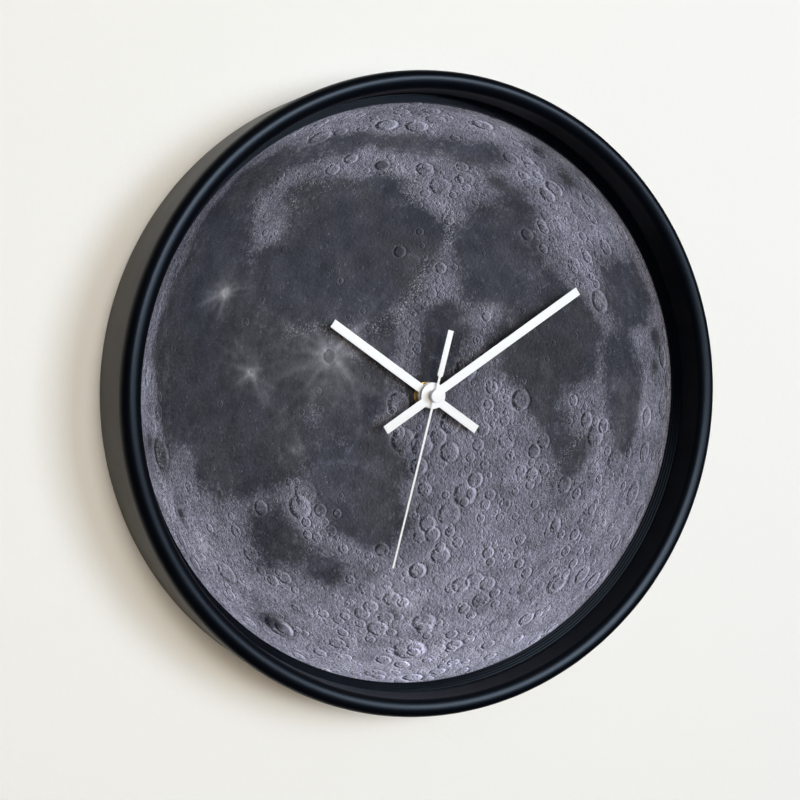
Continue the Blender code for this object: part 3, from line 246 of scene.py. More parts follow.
def drill(outline, back, front):
    """A cutter with sharp edges."""
    return plate([outline], back, front, 0.0)


def soft_block(low, high, edge=0.4, segments=3):
    """A block with rounded edges."""
    bm = bmesh.new()
    bmesh.ops.create_cube(bm, size=1.0)
    low, high = Vector(low), Vector(high)
    for vert in bm.verts:
        vert.co = Vector(a + (b - a) * (c + 0.5) for a, b, c in zip(low, high, vert.co))
    bmesh.ops.bevel(bm, geom=list(bm.edges), offset=edge, segments=segments, profile=0.5, affect="EDGES")
    return to_mesh(bm, merge=0)


def cut(mesh, *cutters):
    """The mesh with each cutter taken out of it."""
    obj = linked("body", mesh)
    tools = [linked("cutter", cutter) for cutter in cutters]
    for tool in tools:
        step = obj.modifiers.new("Cut", "BOOLEAN")
        step.operation = "DIFFERENCE"
        step.solver = "EXACT"
        step.object = tool
    result = evaluated(obj)
    for tool, cutter in zip(tools, cutters):
        bpy.data.objects.remove(tool)
        bpy.data.meshes.remove(cutter)
    return result


# Node wiring

class Wire:
    """The output of a node. Sums with it make maths nodes, so a shader reads like plain arithmetic."""

    def __init__(self, socket):
        self.socket = socket
        self.tree = socket.id_data

    def __add__(self, other):
        return maths("ADD", self, other)

    def __sub__(self, other):
        return maths("SUBTRACT", self, other)

    def __rsub__(self, other):
        return maths("SUBTRACT", other, self)

    def __mul__(self, other):
        return maths("MULTIPLY", self, other)

    def __truediv__(self, other):
        return maths("DIVIDE", self, other)


def feed(node, inputs):
    """Sets a node's inputs, each to a value or to the output that leads to it."""
    for key, value in inputs.items():
        if isinstance(value, Wire):
            value = value.socket
        if isinstance(value, bpy.types.NodeSocket):
            node.id_data.links.new(value, node.inputs[key])
        else:
            node.inputs[key].default_value = value


def add(tree, kind, inputs=None, **settings):
    node = tree.nodes.new(kind)
    for key, value in settings.items():
        setattr(node, key, value)
    feed(node, inputs or {})
    return node


def read(tree, kind, inputs=None, output=0, **settings):
    """The wire from one output of a new node."""
    return Wire(add(tree, kind, inputs, **settings).outputs[output])


def maths(operation, a, b=0.0, clamp=False):
    tree = (a if isinstance(a, Wire) else b).tree
    return read(tree, "ShaderNodeMath", {0: a, 1: b}, operation=operation, use_clamp=clamp)


def vector(operation, a, b=(0, 0, 0), output=0):
    return read(a.tree, "ShaderNodeVectorMath", {0: a, 1: b}, output, operation=operation)


def scaled(colour, amount):
    return read(amount.tree, "ShaderNodeVectorMath", {0: colour, "Scale": amount}, operation="SCALE")


def split(place):
    return [Wire(socket) for socket in add(place.tree, "ShaderNodeSeparateXYZ", {0: place}).outputs]


def joined(x, y, z=0.0):
    return read(x.tree, "ShaderNodeCombineXYZ", {0: x, 1: y, 2: z})


def blend_colour(share, a, b):
    return read(share.tree, "ShaderNodeMix", {0: share, 6: a, 7: b}, 2, data_type="RGBA", blend_type="MIX")


def ramp(value, low, high, start=0.0, end=1.0, smooth=True):
    return read(value.tree, "ShaderNodeMapRange",
                {"Value": value, "From Min": low, "From Max": high, "To Min": start, "To Max": end},
                interpolation_type="SMOOTHSTEP" if smooth else "LINEAR")


def noise(place, scale, detail=3.0, roughness=0.5):
    return read(place.tree, "ShaderNodeTexNoise",
                {"Vector": place, "Scale": scale, "Detail": detail, "Roughness": roughness}, "Fac")


def group(name, inputs, outputs):
    """An empty shader node group: its tree, the wires of its inputs and its output node. An input is
    told by its first value, and is a vector where that is None."""
    kinds = {float: "NodeSocketFloat", tuple: "NodeSocketColor", type(None): "NodeSocketVector"}
    tree = bpy.data.node_groups.new(name, "ShaderNodeTree")
    for label, value in inputs.items():
        socket = tree.interface.new_socket(name=label, in_out="INPUT", socket_type=kinds[type(value)])
        if value is not None:
            socket.default_value = value
    for label, kind in outputs.items():
        tree.interface.new_socket(name=label, in_out="OUTPUT", socket_type=f"NodeSocket{kind}")
    given = tree.nodes.new("NodeGroupInput").outputs
    return tree, {label: Wire(given[label]) for label in inputs}, tree.nodes.new("NodeGroupOutput")


def make_skin_grain():
    """Fine moulded or painted skin: an uneven gloss, a tone that drifts slightly, and a bump height."""
    tree, given, made = group(
        "skin_grain", {"Place": None, "Grain": 2500.0, "Gloss": 0.35, "Unevenness": 0.05,
                       "Colour": (0.5, 0.5, 0.5, 1.0), "Drift": 0.1},
        {"Colour": "Color", "Roughness": "Float", "Height": "Float"})
    uneven = noise(given["Place"], 45.0) - 0.5
    feed(made, {"Colour": scaled(given["Colour"], uneven * given["Drift"] + 1.0),
                "Roughness": given["Gloss"] + uneven * given["Unevenness"] * 2.0,
                "Height": noise(given["Place"], given["Grain"], 3.0, 0.6)})
    return tree


def make_dust():
    """A mask of fine dust: specks and a thin film."""
    tree, given, made = group("dust", {"Place": None, "Amount": 0.3}, {"Mask": "Float"})
    cells = add(tree, "ShaderNodeTexVoronoi", {"Vector": given["Place"], "Scale": 420.0}).outputs
    specks = ramp(Wire(cells["Distance"]), 0.10, 0.03) * ramp(Wire(cells["Color"]), 0.80, 0.95)
    film = ramp(noise(given["Place"], 30.0, 4.0), 0.45, 0.75)
    feed(made, {"Mask": maths("MULTIPLY", specks + film * 0.35, given["Amount"], clamp=True)})
    return tree


def make_drawn_lines():
    """Fine parallel lines of rolled, drawn or turned metal, along one axis of the piece."""
    tree, given, made = group("drawn_lines", {"Place": None, "Along": None, "Gloss": 0.3},
                              {"Roughness": "Float", "Height": "Float"})
    lines = noise(vector("MULTIPLY", given["Place"], given["Along"]), 1.0, 4.0, 0.65)
    feed(made, {"Roughness": given["Gloss"] + ramp(lines, 0.3, 0.7, -0.07, 0.07), "Height": lines})
    return tree


skin_grain, dust, drawn_lines = make_skin_grain(), make_dust(), make_drawn_lines()
DUST_COLOUR = (0.35, 0.34, 0.32, 1)


def new_material(name):
    """A material, its shader and the wire of its place on the object."""
    material = bpy.data.materials.new(name)
    material.use_nodes = True
    tree = material.node_tree
    return material, tree.nodes["Principled BSDF"], read(tree, "ShaderNodeTexCoord", output="Object")


def bump(shader, height, distance):
    feed(shader, {"Normal": read(height.tree, "ShaderNodeBump",
                                 {"Height": height, "Distance": distance, "Strength": 1.0}, "Normal")})


def skinned(name, colour, gloss, unevenness=0.05, drift=0.15, grain=2500.0, depth=0.00002, dusty=0.0,
            metallic=0.0, specular=0.5):
    """Moulded plastic, paint, rubber or cast metal with a fine skin and a little dust."""
    material, shader, place = new_material(name)
    skin = add(place.tree, "ShaderNodeGroup",
               {"Place": place, "Grain": grain, "Gloss": gloss, "Unevenness": unevenness,
                "Colour": (*colour, 1), "Drift": drift}, node_tree=skin_grain).outputs
    finish, rough = Wire(skin["Colour"]), Wire(skin["Roughness"])
    if dusty:
        film = read(place.tree, "ShaderNodeGroup", {"Place": place, "Amount": dusty}, node_tree=dust)
        finish, rough = blend_colour(film, finish, DUST_COLOUR), rough + film * 0.3
    feed(shader, {"Base Color": finish, "Roughness": rough, "Metallic": metallic,
                  "Specular IOR Level": specular})
    bump(shader, Wire(skin["Height"]), depth)
    return material


def metal(name, colour, gloss, along, depth=0.00001, stain=0.12):
    """Bare or plated metal with drawn lines and a faint stain."""
    material, shader, place = new_material(name)
    lines = add(place.tree, "ShaderNodeGroup", {"Place": place, "Along": along, "Gloss": gloss},
                node_tree=drawn_lines).outputs
    patches = ramp(noise(place, 220.0, 4.0), 0.35, 0.75, 0.0, stain)
    darker = (*[c * 0.55 for c in colour], 1)
    feed(shader, {"Base Color": blend_colour(patches, (*colour, 1), darker),
                  "Roughness": Wire(lines["Roughness"]), "Metallic": 1.0})
    bump(shader, Wire(lines["Height"]), depth)
    return material


def polish_terraces(material, share):
    """The mould is glossier where it forms the terraces, within the inner wall of the case."""
    shader = material.node_tree.nodes["Principled BSDF"]
    rough = Wire(shader.inputs["Roughness"].links[0].from_socket)
    x, _, z = split(read(rough.tree, "ShaderNodeTexCoord", output="Object"))
    radius = vector("LENGTH", joined(x, z + HANG_POINT * MM), output="Value")
    low, high = (RIM_INNER - 0.35) * MM, (RIM_INNER - 0.05) * MM
    feed(shader, {"Roughness": rough * ramp(radius, low, high, share, 1.0)})


def hardboard_material():
    """Pressed brown fibres, with the fine mesh mark that the press leaves on the back."""
    material, shader, place = new_material("hardboard")
    mesh_mark = 4200.0
    fibres = noise(place, 700.0, 6.0, 0.75)
    colour = blend_colour(ramp(fibres, 0.38, 0.66), (0.085, 0.046, 0.023, 1), (0.26, 0.16, 0.085, 1))
    worn = ramp(noise(place, 45.0, 4.0), 0.3, 0.7, 0.0, 0.35)
    feed(shader, {"Base Color": blend_colour(worn, colour, (0.20, 0.115, 0.055, 1)),
                  "Roughness": ramp(fibres, 0.3, 0.7, 0.88, 0.72)})
    x, _, z = split(place)
    weave = maths("SINE", x * mesh_mark) * maths("SINE", z * mesh_mark)
    bump(shader, weave * 0.5 + fibres, 0.00008)
    return material


def circuit_material():
    """Green lacquer over copper tracks."""
    material, shader, place = new_material("circuit_board")
    tracks = add(place.tree, "ShaderNodeTexBrick",
                 {"Vector": place, "Scale": 420.0, "Mortar Size": 0.06, "Color1": (0.020, 0.115, 0.050, 1),
                  "Color2": (0.026, 0.150, 0.062, 1), "Mortar": (0.010, 0.060, 0.026, 1)}).outputs
    feed(shader, {"Base Color": tracks["Color"],
                  "Roughness": ramp(noise(place, 900.0), 0.3, 0.7, 0.25, 0.38)})
    bump(shader, Wire(tracks["Fac"]), 0.00002)
    return material


def battery_material():
    """A plain two-tone wrap, dark with a silver band; bare steel at the ends."""
    material, shader, place = new_material("battery_wrap")
    along = split(place)[0]
    band = ramp(along, 0.0118, 0.0120)
    ends = maths("GREATER_THAN", maths("ABSOLUTE", along - 0.0001), 0.0241)
    scuffs = ramp(noise(place, 500.0, 5.0), 0.35, 0.75)
    dark = blend_colour(scuffs, (0.010, 0.040, 0.048, 1), (0.016, 0.058, 0.068, 1))
    silver = blend_colour(scuffs, (0.52, 0.53, 0.54, 1), (0.60, 0.61, 0.61, 1))
    wrap = blend_colour(band, dark, silver)
    feed(shader, {"Base Color": blend_colour(ends, wrap, (0.60, 0.59, 0.57, 1)),
                  "Metallic": maths("MAXIMUM", band * 0.8, ends), "Roughness": scuffs * 0.12 + 0.26})
    bump(shader, noise(place, 1400.0), 0.000008)
    return material


# Colour, gloss, unevenness of the gloss, drift of the tone, grain, depth of the grain in metres,
# dust, metallic share and specular level
SKINS = {
    "satin_black_plastic": ((0.0009, 0.0015, 0.0036), 0.38, 0.04, 0.25, 3200.0, 0.000010, 0.002, 0.0, 0.11),
    "white_enamel": ((0.90, 0.912, 0.945), 0.42, 0.06, 0.02, 4200.0, 0.000008, 0.0, 0.0, 0.15),
    "white_gloss": ((0.90, 0.912, 0.945), 0.24, 0.05, 0.02, 1800.0, 0.000006, 0.0, 0.0, 0.2),
    "black_plastic": ((0.018, 0.018, 0.020), 0.48, 0.08, 0.25, 1800.0, 0.00005, 0.06),
    "black_rubber": ((0.020, 0.020, 0.020), 0.82, 0.06, 0.3, 900.0, 0.00006, 0.10),
    "black_epoxy": ((0.010, 0.010, 0.011), 0.22, 0.08, 0.3, 500.0, 0.00008),
    "white_acetal": ((0.62, 0.62, 0.59), 0.42, 0.06, 0.05, 1500.0, 0.00002),
    "dark_ferrite": ((0.07, 0.07, 0.075), 0.45, 0.10, 0.4, 2200.0, 0.00004, 0.0, 0.6)}

# Colour, gloss, grain along each axis, depth of the lines in metres and stain
METALS = {
    "zinc_steel": ((0.56, 0.57, 0.58), 0.34, (60.0, 3000.0, 900.0)),
    "nickel_iron": ((0.52, 0.51, 0.48), 0.38, (90.0, 2500.0, 2500.0)),
    "copper_wire": ((0.62, 0.25, 0.11), 0.30, (26000.0, 300.0, 300.0), 0.00003),
    "brass": ((0.37, 0.21, 0.06), 0.36, (2500.0, 900.0, 2500.0), 0.00001, 0.3)}

FINISHES = {"hardboard": hardboard_material(), "circuit_board": circuit_material(),
            "battery_wrap": battery_material()}
FINISHES.update({name: skinned(name, *values) for name, values in SKINS.items()})
FINISHES.update({name: metal(name, *values) for name, values in METALS.items()})
polish_terraces(FINISHES["satin_black_plastic"], 0.45)


# The moon print. Lengths on the globe are degrees, places are (latitude, longitude).

# The disc on the dial, in millimetres, and how far it is turned anticlockwise
MOON_RADIUS = 140.24
MOON_CENTRE = (0.79, -1.09)
MOON_TURN = radians(4.44)
RANDOM_SEED = 17
RANDOM_CRATERS = 4200

# Dark plains: latitude, longitude, radius of one patch
PLAINS = [
    (34, -17, 14), (30, -10, 12), (39, -22, 9.5), (26, -22, 12), (24, -28, 12), (33, -3, 8), (40, -12, 8.5),
    (44, -31, 5), (50, -58, 6.5), (55, -53, 4), (57, -40, 3.6), (59, -30, 3.2), (60, -20, 3.4),
    (60, -10, 3.2),
    (59, 0, 3.2), (57, 8, 3.4), (56, 16, 4.2), (54, 25, 4), (53, 32, 3.0), (45, 27, 2.5), (38, 30, 5),
    (18, -57, 12), (10, -50, 13), (30, -55, 11), (38, -60, 8), (45, -61, 6), (0, -45, 12), (5, -58, 10),
    (-5, -50, 8), (20, -45, 10), (10, -38, 10), (-2, -35, 8), (-8, -40, 7), (15, -65, 6), (7, -30, 9),
    (7, -22, 6), (-10, -23, 6), (-5, -30, 5), (-20, -16, 8), (-15, -13, 7), (-24, -13, 5), (-24, -39, 6.6),
    (-2, -18, 6), (3, -13, 6), (-8, -14, 5), (12, -9, 4.5), (1.5, 0, 4.5), (13, 3.5, 3.6),
    (9.5, 6, 3), (15, 7, 2.4), (6, 1, 2.6), (28, 19.6, 9.2), (24, 18, 7.5), (32, 21, 7.5), (27, 24, 6),
    (8, 31, 10), (13, 28, 9), (4, 25, 6), (4, 33, 4.6), (12, 38, 7), (18, 33, 5), (5, 40, 4.5), (8, 22, 6),
    (-15, 34.3, 5.4), (-4, 27, 4), (-8, 29, 2.6), (-3, 51, 7), (-9, 51, 5), (-14, 51, 2.6), (4, 50, 5.6),
    (17.5, 56, 7.2), (17.5, 62, 7.2), (1.3, 65, 1.8), (7.5, 68, 2.5), (22, 67, 2), (13, 86, 5), (-1.7, 87, 5),
    (57, 81, 3.5), (46, 57, 3), (-32, -28, 4), (-5, -68, 3.6), (-3, -74, 1.5), (51.6, -9.4, 1.6),
    (53.9, 57, 1.9), (29.7, -4, 1.1), (-13.8, -50, 0.7), (-16.7, -66.8, 0.7), (-42.5, -56, 2.2),
    (9, 15.4, 1.3), (26.6, 30.6, 1.0)]

# Bright young craters: latitude, longitude, radius, reach of the halo, strength, count of rays
YOUNG = [
    (9.7, -20, 1.53, 6.5, 1.15, 34), (8.1, -38, 0.52, 4.4, 1.1, 24), (23.7, -47.4, 0.66, 2.6, 2.0, 12),
    (-43.3, -11.2, 1.40, 5.0, 0.45, 18), (16.1, 46.8, 0.46, 2.4, 0.6, 9), (-8.9, 61, 2.18, 3.2, 0.40, 12),
    (-24.5, -63.8, 0.32, 2.5, 0.7, 12), (73.5, -10, 0.83, 3.5, 0.4, 12), (61.7, 50, 0.5, 3.0, 0.4, 10),
    (-31.8, 51.6, 0.3, 2.5, 0.5, 12), (-33.5, 59, 0.3, 2.6, 0.5, 12), (-0.4, 32.7, 0.2, 1.0, 0.7, 0),
    (2.8, 17.3, 0.3, 1.2, 0.5, 0), (16.3, 16, 0.45, 1.5, 0.5, 5), (14.5, 9.1, 0.64, 1.4, 0.4, 5),
    (-2, 47, 0.25, 1.1, 0.6, 3), (-7.4, -29.5, 0.25, 1.4, 0.6, 0), (-4.5, -8.6, 0.4, 1.6, 0.5, 5)]

# Older craters that are easy to know: latitude, longitude, radius
OLD = [
    (51.6, -9.4, 1.7), (14.5, -11.3, 0.96), (29.7, -4, 1.37), (33.9, 1.2, 0.91), (30.7, 1.5, 0.64),
    (50.2, 17.4, 1.44), (44.3, 16.3, 1.1), (-11.4, 26.4, 1.65), (-13.2, 24, 1.6), (-18, 23.6, 1.6),
    (-29.7, 32.2, 1.45), (-21.2, 33, 2.0), (-25.3, 60.4, 2.9), (-16.3, 61.8, 2.4), (-36.3, 60.4, 2.0),
    (-32.5, 54.2, 1.2), (-45, 40, 3.1), (-42, 14, 1.9), (-41.1, 6, 2.1), (-33, 0.7, 2.2), (-28, -1, 1.8),
    (-25.5, -1.9, 1.9), (-18.2, -1.9, 1.6), (-13.4, -2.8, 1.95), (-9.2, -1.8, 2.5), (-11.3, 4.1, 2.2),
    (-5.5, 4.8, 2.4), (-28, 3.3, 1.15), (-30.6, 5.2, 1.3), (-50, -6.2, 2.7), (-58.4, -14.4, 3.8),
    (-49.5, -21.7, 2.4), (-43, -20.8, 1.75), (-29.8, -13.5, 1.6), (-20.7, -22.2, 1.0), (-17.6, -40.1, 1.7),
    (-21.5, -49.2, 1.4), (-44.4, -55.1, 3.5), (2.2, -67.6, 1.75), (5.1, -66.8, 1.0), (-5.2, -68.6, 3.5),
    (62, -42, 2.7), (31.8, 29.9, 1.6), (46.7, 44.4, 1.4), (46.7, 39.1, 1.1), (53.6, 56.5, 2.0),
    (27.7, 56, 2.1), (34.5, 56.7, 1.4), (39.2, 60.5, 2.0), (21.3, 46, 1.05), (5.6, 46.5, 0.9),
    (15.4, 23.7, 0.7), (26.7, -13.1, 0.56), (25.8, -21, 0.5), (23.3, -29.2, 0.45), (3.3, -22.8, 0.8),
    (-0.3, -26.6, 0.65), (-5.7, -2.1, 0.67), (4.2, 3.6, 0.45), (4.1, 10.5, 0.75), (1.8, 10.2, 0.6),
    (-1.9, 17.5, 0.85), (1.4, 20.1, 0.5), (2.0, 19.2, 0.5), (-8, 33.5, 0.7), (-7.5, 35, 0.8),
    (-20.9, 44, 1.05), (-15.1, 45.8, 1.25), (-10, 45, 1.0), (-8.6, 41.2, 1.2), (-70.6, -5.5, 1.9),
    (-63.8, -21.5, 1.75), (-60.5, -27.5, 1.8), (-67.2, 4.4, 1.55), (-67.7, 26.8, 1.6), (-50.3, 9.9, 1.25),
    (-47.1, 6.7, 1.2), (-44.9, 16.8, 1.35), (-34.2, 13.3, 1.45), (-32, 22.1, 1.4), (-37.1, 47.2, 1.15),
    (-40.3, 43.3, 1.45), (-42.9, 42, 1.3), (-53.3, 38.8, 1.45), (-54.7, 33.8, 2.0), (72.1, -32.4, 1.15),
    (73.2, -3.8, 1.85), (73.6, 18.8, 2.1), (65.4, 4.5, 2.6), (-51.9, -39, 2.0), (-54, -50, 1.6),
    (-46, -49, 1.2), (-30.5, -47, 1.2), (-13.8, -50, 0.75), (-36, -40, 1.0), (-21, 18.5, 0.7), (-26, 11, 1.0),
    (-22, 7, 1.1), (-38, 23, 1.3), (-56, 12, 1.3), (-61, 3, 1.4), (-73, 12, 1.6), (30, -75, 1.4),
    (36, -73, 1.2), (12, -78, 2.0), (43, 70, 2.0), (31, 70, 2.2), (60, 20, 1.2), (66, 38, 1.6),
    (68, -55, 1.8), (-60, 55, 1.7), (-30, 70, 2.4), (-45, 65, 2.0), (-20, 75, 2.2), (8, 75, 1.6),
    (-35, -66, 1.5), (-27, -72, 1.8)]

# Mountain chains: places (latitude, longitude) along each, and its half width
CHAINS = [
    ([(14, -10), (16, -6), (19, -3), (23, 0), (27, 2.5)], 1.7), ([(31, 8), (36, 9.5), (41, 9.5)], 1.2),
    ([(42, -1), (46, 1), (48.5, 2), (50, -4), (49.5, -9)], 1.3),
    ([(41.5, -34), (44.5, -36), (47.5, -33.5), (48, -28.5), (46, -25.5)], 0.8),
    ([(15, -29), (15.5, -23), (14, -17)], 1.1), ([(-10, 38), (-18, 29), (-24, 27)], 1.0),
    ([(-3, -68), (-12, -72), (-22, -76)], 2.0)]

# Broad paler (+) and darker (-) parts: latitude, longitude, reach, amount
TONES = [
    (58, -25, 13, 0.55), (58, 5, 13, 0.55), (55, 28, 9, 0.35), (47, 4, 12, -0.26), (48, -38, 9, -0.34),
    (33, -16, 16, 0.32),
    (-3, 51, 9, 0.22), (-12, 51, 8, 0.55), (-15, 34, 6, 0.45), (-6, 28, 5, 0.35), (-20, -16, 10, 0.55),
    (-9, -25, 8, 0.30), (7, -24, 8, -0.02), (8, 31, 9, -0.08), (26, 19, 10, 0.42), (17, 59, 7, 0.20),
    (10, 4, 8, -0.14), (33, -84, 17, -0.50), (52, -84, 12, -0.40), (42, 84, 16, -0.30),
    (-25, -50, 14, -0.14), (-18, 55, 12, -0.12),
    (12, -50, 14, -0.16), (-12, 3, 14, -0.16), (5, 8, 8, -0.15), (-24, -60, 12, 0.10), (-40, -10, 16, 0.06),
    # The darker part at latitude 72, longitude -5 is painted shadow: the print is darker by its top edge,
    # where the case's upper rim shades the dial.
    (-75, 0, 20, 0.24), (72, -5, 15, -0.32), (-30, 25, 15, -0.05), (20, 75, 18, 0.10), (62, -75, 20, 0.05)]

# Small random craters: cells across the globe, smallest and largest radius, how strongly they show,
# and how much more common they are on the uplands
SMALL_CRATERS = [
    (29.0, 0.0040, 0.0120, 0.9, 0.85), (46.0, 0.0026, 0.0070, 1.5, 0.82), (74.0, 0.0023, 0.0050, 2.6, 0.66),
    (120.0, 0.0018, 0.0034, 4.2, 0.58)]


def on_globe(latitude, longitude):
    """Unit vectors (to the right, towards the viewer, up) for places on the globe."""
    lat, lon = np.radians(latitude), np.radians(longitude)
    return np.stack([np.cos(lat) * np.sin(lon), np.cos(lat) * np.cos(lon), np.sin(lat)], axis=-1)


def apart(points, centre):
    """Degrees from each point to a centre."""
    return np.degrees(np.arccos(np.clip(points @ centre, -1, 1)))


def shore_at(points):
    """How far inside a dark plain each point lies, in degrees; negative on the bright uplands."""
    total = np.zeros(len(points))
    for latitude, longitude, radius in PLAINS:
        blend = min(1.4, 0.45 * radius)
        away = apart(points, on_globe(latitude, longitude))
        total += np.exp(np.clip((radius - away) / blend, -30, 12))
    return 1.4 * np.log(total + 1e-9)


def lumpy(points, rng, waves, low, high):
    """A smooth uneven field on the globe, about -1 to 1, from random waves."""
    total = np.zeros(len(points))
    for _ in range(waves):
        direction = rng.normal(size=3)
        direction *= rng.uniform(low, high) / np.linalg.norm(direction)
        total += np.sin(points @ direction + rng.uniform(0, 2 * pi))
    return total / sqrt(waves)


def line_nearness(points, chain, width):
    """1 on a chain of places, falling smoothly to 0 over its width in degrees."""
    ends = on_globe(*np.array(chain, float).T)
    nearest = np.full(len(points), 9.0)
    for start, end in zip(ends, ends[1:]):
        run = end - start
        share = np.clip((points - start) @ run / (run @ run), 0, 1)
        nearest = np.minimum(nearest, np.linalg.norm(points - start - share[:, None] * run, axis=1))
    return np.exp(-(np.degrees(nearest) / width) ** 2)


def add_rays(points, bright, rng, crater):
    """A bright halo and thin uneven rays round a young crater."""
    latitude, longitude, radius, reach, strength, count = crater
    centre = on_globe(latitude, longitude)
    away = apart(points, centre)
    north = np.array([0.0, 0.0, 1.0]) - centre * centre[2]
    north /= np.linalg.norm(north)
    east = np.cross(north, centre)
    bearing = np.arctan2(points @ east, points @ north)
    bright += strength * (0.55 * np.exp(-(away / (1.5 * radius)) ** 2) + 0.40 * np.exp(-away / reach))
    for _ in range(count):
        heading = rng.uniform(-pi, pi)
        length = reach * rng.uniform(0.9, 2.6)
        width = max(0.40, radius * rng.uniform(0.2, 0.6))
        bend = rng.normal(0, 0.02)
        off = (bearing - heading - bend * away + pi) % (2 * pi) - pi
        across = np.sin(np.clip(off, -pi / 2, pi / 2)) * away
        streak = np.exp(-(across / width) ** 2) * np.exp(-(away / length) ** 2)
        bright += strength * rng.uniform(0.08, 0.26) * streak * (away > 0.9 * radius) * (np.abs(off) < 1.2)


def crater_list(rng):
    """Every crater over half a degree: known ones first, then random ones, mostly on the uplands."""
    known = [(*c[:3], 1.0) for c in YOUNG if c[2] > 0.4]
    known += [(*c, 0.8 / sqrt(max(c[2], 1.0))) for c in OLD]
    known.sort(key=lambda c: -c[2])
    count = RANDOM_CRATERS
    radii = np.minimum(0.48 * (1 - rng.uniform(0, 0.985, count)) ** (-1 / 2.3), 2.6)
    radii = np.sort(radii)[::-1]
    up, right = rng.uniform(-1, 1, count), rng.uniform(-0.999, 0.999, count)
    latitude, longitude = np.degrees(np.arcsin(up)), np.degrees(np.arcsin(right))
    water = shore_at(on_globe(latitude, longitude))
    keep = (water < -0.5) | ((rng.uniform(size=count) < 0.05) & (radii < 0.8))
    depth = 0.22 + 0.75 * rng.uniform(size=count) ** 1.6
    return known + [(a, b, c, d) for a, b, c, d, k in zip(latitude, longitude, radii, depth, keep) if k]


def crater_layers(points, craters, count=3):
    """Shares the craters out so that those of one layer stay clear of each other. Each layer carries,
    at every point, the centre of its nearest crater, that crater's radius and how deep it shows."""
    layers = [([], []) for _ in range(count)]
    for latitude, longitude, radius, depth in craters:
        centre = on_globe(latitude, longitude)
        for centres, sizes in layers:
            if centres:
                gaps = np.degrees(np.linalg.norm(np.array(centres) - centre, axis=1))
                if (gaps < 1.45 * (np.array(sizes)[:, 0] + radius)).any():
                    continue
            centres.append(centre)
            sizes.append((radius, depth))
            break
    made = []
    for centres, sizes in layers:
        best, second = np.full(len(points), 9.0), np.full(len(points), 9.0)
        middle = np.zeros((len(points), 3))
        size, deep = np.ones(len(points)), np.zeros(len(points))
        for centre, (radius, depth) in zip(centres, sizes):
            inside = np.nonzero(points @ centre > cos(radians(2.6 * radius)))[0]
            ratio = np.degrees(np.linalg.norm(points[inside] - centre, axis=1)) / radius
            better = ratio < best[inside]
            second[inside] = np.where(better, best[inside], np.minimum(second[inside], ratio))
            chosen = inside[better]
            best[chosen] = ratio[better]
            middle[chosen], size[chosen], deep[chosen] = centre, radius, depth
        fade = np.clip((1.95 - best) / 0.35, 0, 1)
        alone = np.clip((second - best - 0.35 / size) / (0.5 / size), 0, 1)
        made.append((middle, np.radians(size), deep * fade * alone))
    return made


def moon_fields(points):
    """What the print's mesh carries at points of the globe, by name."""
    rng = np.random.default_rng(RANDOM_SEED)
    fields = {"shore": shore_at(points) + 0.9 * lumpy(points, rng, 24, 14, 60) - 0.2}
    tone = 0.08 * lumpy(points, rng, 30, 5, 25) + 0.07 * lumpy(points, rng, 40, 25, 70)
    for latitude, longitude, reach, amount in TONES:
        tone += amount * np.exp(-(apart(points, on_globe(latitude, longitude)) / reach) ** 2)
    fields["tone"] = tone
    bright = np.zeros(len(points))
    for crater in YOUNG:
        add_rays(points, bright, rng, crater)
    fields["bright"] = bright
    fields["rugged"] = np.maximum.reduce([line_nearness(points, chain, width) for chain, width in CHAINS])
    for number, (middle, size, depth) in enumerate(crater_layers(points, crater_list(rng)), 1):
        fields.update({f"centre_{number}": middle, f"radius_{number}": size, f"depth_{number}": depth})
    return fields


